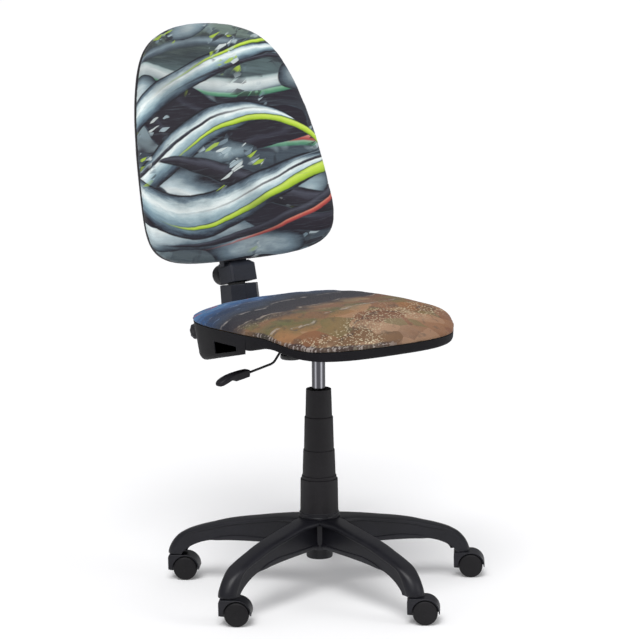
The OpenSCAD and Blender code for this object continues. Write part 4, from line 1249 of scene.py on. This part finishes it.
def mechanism():
    rings = []
    def rr(hx, hy, r, z):
        pts = []
        for cx, cy, a0 in ((hx - r, hy - r, 0), (-hx + r, hy - r, 90), (-hx + r, -hy + r, 180), (hx - r, -hy + r, 270)):
            for k in range(9):
                a = rad(a0 + 11.25 * k)
                pts.append((cx + r * math.cos(a), cy + r * math.sin(a), z))
        return pts
    # pressed housing with a rolled lower edge
    for ins, z in ((60, 560.8), (0.0, 560.8), (0.0, 503)):
        if ins != 60:
            rings.append(rr(60 - ins, 50 - ins, 14, z))
    for q in range(1, 7):
        a = rad(15 * q)
        rings.append(rr(60 - 8 * (1 - math.cos(a)), 50 - 8 * (1 - math.cos(a)), 14, 503 - 8 * math.sin(a)))
    for ins, z in ((30, 495), (44, 495)):
        rings.append(rr(60 - ins, 50 - ins, 6, z))
    shell = loft("housing", rings)
    hole = lathe("bore", [(0, 470), (13.9, 470), (13.9, 600), (0, 600)], 64)
    way = box("way", (-66, -6.5, 505), (-50, 6.5, 535))
    slot = box("slot", (-20.2, 40, 497.3), (20.2, 60, 505.7))
    inner = box("inner", (-57, -47, 498), (57, 47, 570), r=11)
    cut(shell, inner, hole, way, slot)
    shell = bevel(shell, 0.5, 2, 50)
    plate = box("plate", (-75, -90, 558.5), (75, 90, 561), r=6)
    for x in (-60, 60):
        for y in (-75, 75):
            plate = cut(plate, lathe("h", [(0, 550), (3.3, 550), (3.3, 570), (0, 570)], 24,
                                     place=lambda p, x=x, y=y: (p[0] + x, p[1] + y, p[2])))
    plate = cut(plate, box("inner2", (-57, -47, 550), (57, 47, 570), r=11))
    plate = bevel(plate, 0.4, 2, 50)
    socket = lathe("socket", [(14.1, 495.2), (17.4, 495.2), (18, 495.8), (18, 539.4), (17.4, 540), (13.6, 540)], 64)
    ears = [bevel(box("ear", (-51, s * 8.2 - 1.5, 497), (-39, s * 8.2 + 1.5, 533)), 0.5, 2) for s in (-1, 1)]
    # round boss under the housing, at the lever's side
    pod = lathe("pod", [(0, 496), (21.4, 496), (22, 495), (22.4, 490), (21.8, 488), (20.2, 486.6), (17.5, 486), (9, 485.8), (8.4, 486.5),
                        (0, 486.6)], 64, place=lambda p: (p[0] - 46, p[1] + 32, p[2]))
    ob = join("mechanism_body", shell, plate, socket, pod, *ears)
    piece(ob, BLACK_STEEL, "black_steel", "seat", "mechanism_housing", angle=36)


mechanism()


def lever():
    path = [(3, 0, 552.4), (-24, 0, 551), (-45, 0, 526), (-60, 0, 521), (-96, 0, 513.5), (-115.5, 0, 490.3),
            (-150, 0, 483.6), (-196, 0, 474.6)]
    rod = tube("rod", rounded_path(path, 8), 2.45, 24)
    pin = lathe("pin", [(0, -11.4), (2.6, -11.4), (3, -11), (3, 11), (2.6, 11.4), (0, 11.4)], 24,
                place=lambda p: (p[0] - 45, p[2], p[1] + 526))
    ob = join("lever_arm", rod, pin)
    piece(ob, BLACK_STEEL, "black_steel", "lever", "lever_rod", angle=40)
    # grip: square block on the rod, then a thinner paddle with a rolled tip
    st = [(-179.6, 484.6, 471.4, 7.0, 0.2), (-180.0, 485.2, 470.9, 7.5, 0.2), (-181.2, 485.6, 470.8, 7.7, 0.2),
          (-186, 485.8, 469.9, 8.1, 0.22), (-194, 485.3, 468.6, 8.6, 0.24), (-203, 484.1, 467.2, 9.2, 0.26),
          (-211.5, 482.9, 465.9, 9.7, 0.28), (-213.6, 482.6, 465.7, 9.9, 0.28), (-215.4, 482.3, 466.4, 10.1, 0.3),
          (-218.5, 481.8, 468.0, 10.4, 0.36), (-222, 481.1, 468.9, 10.7, 0.42), (-228, 479.8, 467.0, 11.1, 0.5),
          (-234, 478.2, 464.4, 11.5, 0.55), (-240, 476.2, 461.9, 11.8, 0.6), (-246, 473.5, 459.9, 11.6, 0.62),
          (-250.5, 470.9, 459.2, 10.4, 0.66), (-254, 468.2, 459.8, 8.0, 0.7), (-256.2, 465.8, 461.3, 4.6, 0.8),
          (-256.9, 464.4, 462.6, 1.8, 0.9)]
    rings = []
    for x, zt, zb, w, e in st:
        zc, h = (zt + zb) / 2, (zt - zb) / 2
        rings.append([(x, w * spow(math.cos(2 * math.pi * k / 48), e), zc + h * spow(math.sin(2 * math.pi * k / 48), e))
                      for k in range(48)])
    grip = loft("lever_grip", rings)
    grip = bevel(grip, 0.8, 3, 50)
    piece(grip, NYLON, "nylon", "lever", "lever_handle", angle=40)


lever()


# ---------------------------------------------------------------- back

def back(x, n, v):
    """Point of the back's own frame (across, rearwards, up its slope), in millimetres."""
    return (x, 254 + v * math.sin(TILT) + n * math.cos(TILT), 666 + v * math.cos(TILT) - n * math.sin(TILT))


def back_xv(t, inset=0.0, s=1.0):
    up = math.sin(t) > 0
    v = spow(math.sin(t), 2 / (9.78 if up else 7.76))
    x = spow(math.cos(t), 2 / (2.2 if up else 3.95))
    hw = 227.2 - 37.8 * v - 33.9 * v * v - 21.9 * v ** 3 - inset
    return hw * x * s, 255.2 + (255.6 - inset) * v * s


def wrap_n(x, r=880.0):
    return math.sqrt(r * r - x * x) - r


def bow(v):
    return 3.0 * (((v - 251.5) / 251.5) ** 2) - 1.0


def back_cushion():
    N = 200
    ts = even_angles(N, lambda t: back_xv(t, 0))
    rings = []

    def ring(inset, s, add):
        r = []
        for t in ts:
            x, v = back_xv(t, inset, s)
            r.append(back(x, wrap_n(x) + add, v))
        rings.append(r)

    for s in (0.2, 0.5, 0.8):
        ring(4, s, 24.6)
    ring(3.0, 1.0, 24.6)
    ring(0.6, 1.0, 23.8)
    ring(0.0, 1.0, 22)
    ring(-0.3, 1.0, 17)
    ring(-0.2, 1.0, 12.5)
    ring(0.2, 1.0, 9.6)
    for s, d in ((0.996, 7.2), (0.99, 5.4), (0.981, 4.1), (0.968, 3.1), (0.95, 2.4), (0.92, 1.8), (0.88, 1.4), (0.82, 1.1),
                 (0.75, 0.8), (0.65, 0.6), (0.53, 0.5), (0.4, 0.4), (0.26, 0.3), (0.1, 0.3)):
        ring(0.4, s, d)
    ob = loft("back_cushion", rings)

    def depth(p):
        y, z = p[1] - 254, p[2] - 666
        return y * math.cos(TILT) - z * math.sin(TILT) - wrap_n(max(-900, min(900, p[0])))

    def pucker(p):
        d = depth(p)
        if d > 16:
            return 0.0
        v = (p[1] - 254) * math.sin(TILT) + (p[2] - 666) * math.cos(TILT)
        return 0.5 * ripple(math.atan2(v - 251, p[0]), 2.1) * smooth(2.0, 5.0, d) * smooth(16, 9, d)

    ob = puff(ob, 0.005, 4.0, 0.003, lambda p: 1.0 if depth(p) > 12 else 0.0, pucker)
    piece(ob, BACK_PRINT, "back_fabric", "back", "back_pad", angle=80, weighted=False)


back_cushion()


def back_outer():
    """Moulded rear shell: rolled rim round the pad, swept rear face."""
    N = 240
    ts = even_angles(N, lambda t: back_xv(t, 0))

    def rear_n(x):
        return 58 - 577 + math.sqrt(577 * 577 - x * x)

    def ring(rings, inset, s, fn):
        r = []
        for t in ts:
            x, v = back_xv(t, inset, s)
            r.append(back(x, fn(x, v), v))
        rings.append(r)

    outer = []
    rim = lambda x, v: wrap_n(x) + 23.0
    ring(outer, 1.6, 1.0, rim)
    ring(outer, 0.9, 1.0, lambda x, v: rim(x, v) + 0.5)
    ring(outer, 0.6, 1.0, lambda x, v: rim(x, v) + 1.6)
    # side of the shell, then rolled over to the rear face
    for q in range(1, 9):
        a = rad(90 * q / 8)
        def side(x, v, a=a):
            b = max(rim(x, v) + 3, rear_n(x) - 3)
            return lerp(rim(x, v) + 1.8, b, math.sin(a))
        ring(outer, 0.8 + 13 * (1 - math.cos(a)), 1.0, side)
    for s in (0.97, 0.93, 0.87, 0.79, 0.68, 0.55, 0.4, 0.24, 0.08):
        def face(x, v, s=s):
            d = 1 - smooth(0.8, 1.0, s)
            return max(rim(x, v) + 3, rear_n(x) - 3 + 3 * d)
        ring(outer, 13.8, s, face)
    N_o = len(outer)
    inner = []
    for s in (0.08, 0.4, 0.7, 0.9):
        ring(inner, 16, s, lambda x, v: max(rim(x, v) + 2.0, rear_n(x) - 3.2))
    ring(inner, 12, 1.0, lambda x, v: max(rim(x, v) + 1.4, rear_n(x) - 6.0))
    ring(inner, 6, 1.0, lambda x, v: max(rim(x, v) + 1.2, lerp(rim(x, v), rear_n(x), 0.4)))
    ring(inner, 4.2, 1.0, lambda x, v: rim(x, v) + 0.6)
    ring(inner, 4.0, 1.0, rim)
    rings = outer + inner
    verts = [p for r in rings for p in r]
    faces = []
    M = len(rings)
    for j in range(M):
        k = (j + 1) % M
        if j == N_o - 1:
            continue
        for i in range(N):
            l = (i + 1) % N
            faces.append((j * N + i, j * N + l, k * N + l, k * N + i))
    faces.append(tuple((N_o - 1) * N + i for i in range(N)))
    faces.append(tuple(N_o * N + i for i in range(N)))
    ob = solid("back_outer", verts, faces)
    mouth = box("mouth", (-35, 20, -12), (35, 80, 12), place=lambda p: back(p[0], p[1], p[2]))
    cut(ob, mouth)
    piece(ob, NYLON, "nylon", "back", "back_shell", angle=44)


back_outer()


def height_bracket():
    at = lambda p: back(p[0], p[1], p[2])
    sec = [(-26, 7.7), (29.5, 7.7), (35, 12.7), (38, 51), (18, 70.8), (-16, 70.8), (-34, 51), (-31, 12.7)]
    body = prism("bracket", sec, -46, -1.5, at)

    def plane(p, q):
        return Vector(back(*p)), Vector(back(*q)) - Vector(back(0, 0, 0))

    clip(body, plane((40, 30, -15), (13.5, 0, 14)), plane((-36, 30, -15), (-13.5, 0, 14)),
         plane((0, 7, -14.5), (0, -13, 13)))
    body = bevel(body, 1.6, 4, 25)
    sleeve = bevel(box("sleeve", (-30, 32.2, -12), (30, 50, 75), place=at, r=0), 1.5, 3)
    ob = join("height_carriage", body, sleeve)
    piece(ob, STEM_NYLON, "nylon", "back", "back_bracket", angle=36)


height_bracket()


def knob_close(profile, name, place, lobes, seg=144):
    """Closed knob: outer profile from the neck to the crown, with a bored foot."""
    bore = [(0, profile[0][1] + 6), (profile[0][0], profile[0][1] + 6)]
    return lathe(name, bore + profile, seg, ripple=lobes, place=place)


def knobs():
    # fine ribs round the rim for grip
    lobes = lambda r, z, a: 1 + (0.008 * math.cos(36 * a) if r > 20.5 and 75 < z < 92 else 0)
    ob = knob_close([(4.05, 71.4), (17.5, 71.4), (20.4, 72.2), (21.6, 74.4), (22.0, 77), (22.0, 90), (21.6, 93),
                     (20.6, 95.4), (18.6, 97), (12.2, 97.4), (11.6, 96.8), (11, 97.4), (4, 97.8), (0, 97.9)],
                    "height_hand_knob", lambda p: back(p[0], p[2], -23 + p[1]), lobes)
    piece(ob, NYLON, "nylon", "height_knob", "height_knob", angle=40)
    lob2 = lambda r, z, a: 1 + (0.04 * math.cos(8 * a) if r > 12 else 0)
    prof = [(4.0, -14), (4.0, 0.1), (7.5, 0.1), (9, 45), (11, 52), (14.5, 59), (16.0, 62), (16.3, 65), (16.3, 79),
            (15.6, 81.4), (13.6, 82.6), (8.4, 82.9), (7.8, 82.4), (7.2, 82.9), (0, 83.2)]
    ob = lathe("rake_hand_knob", [(0, -14)] + prof, 128, ripple=lob2,
               place=lambda p: (-38.4 - p[2], 270 + p[1], 520.5 + p[0]))
    piece(ob, NYLON, "nylon", "stem_knob", "rake_knob", angle=40)


knobs()


def stem():
    T9 = rad(9)
    def at(p):
        x, n, v = p
        return (x, 228.3 + v * math.sin(T9) + n * math.cos(T9), 600 + v * math.cos(T9) - n * math.sin(T9))
    def sec(grow):
        l, r, c, d = 36.4 + grow, 33.6 + grow * 0.6, 22, 67
        return [(-l, c - grow * 0.3), (-l + c, -grow * 0.2), (r - c + 2, -grow * 0.2), (r, c - 2 - grow * 0.3),
                (r, d - 5), (r - 5, d), (-l + 5, d), (-l, d - 5)]
    rings = [[at((x, n, v)) for x, n in sec(g)] for v, g in ((-150, 5.5), (16, -0.4))]
    ob = loft("stem_sleeve", rings)
    clip(ob, ((0, 219, 500), (0, -1, 0)), ((0, 250, 491), (0, 0, -1)))
    ob = bevel(ob, 1.6, 4, 20)
    boss = lathe("boss", [(4.1, 25), (8, 25), (8, 37.3), (7.6, 38.2), (4.1, 38.2)], 40,
                 place=lambda p: (-p[2], 270 + p[1], 520.5 + p[0]))
    ob = join("stem_sleeve", ob, boss)
    piece(ob, STEM_NYLON, "nylon", "seat", "stem_cover", angle=32)


stem()


# ---------------------------------------------------------------- CAD pieces that stay

KEEP = {
    "lift_column": BLACK_STEEL, "guide_bush": BUSH, "thrust_race_lower": ZINC, "thrust_race_upper": ZINC,
    "thrust_balls": ZINC, "piston_rod": CHROME, "buffer_ring": RUBBER, "rod_clip": ZINC,
    "mechanism_bolts": ZINC, "seat_tee_nuts": ZINC, "seat_board": PLY, "pan_screws": ZINC,
    "back_bar": BLACK_STEEL, "valve_button": ZINC, "back_board": PLY, "bracket_screws": ZINC,
    "height_stud": ZINC,
}
for i in range(1, 6):
    KEEP["caster_%d_stem" % i] = ZINC
    KEEP["caster_%d_axle" % i] = ZINC
for name, mat in KEEP.items():
    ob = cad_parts[name]
    ob.data.materials.clear()
    ob.data.materials.append(mat)
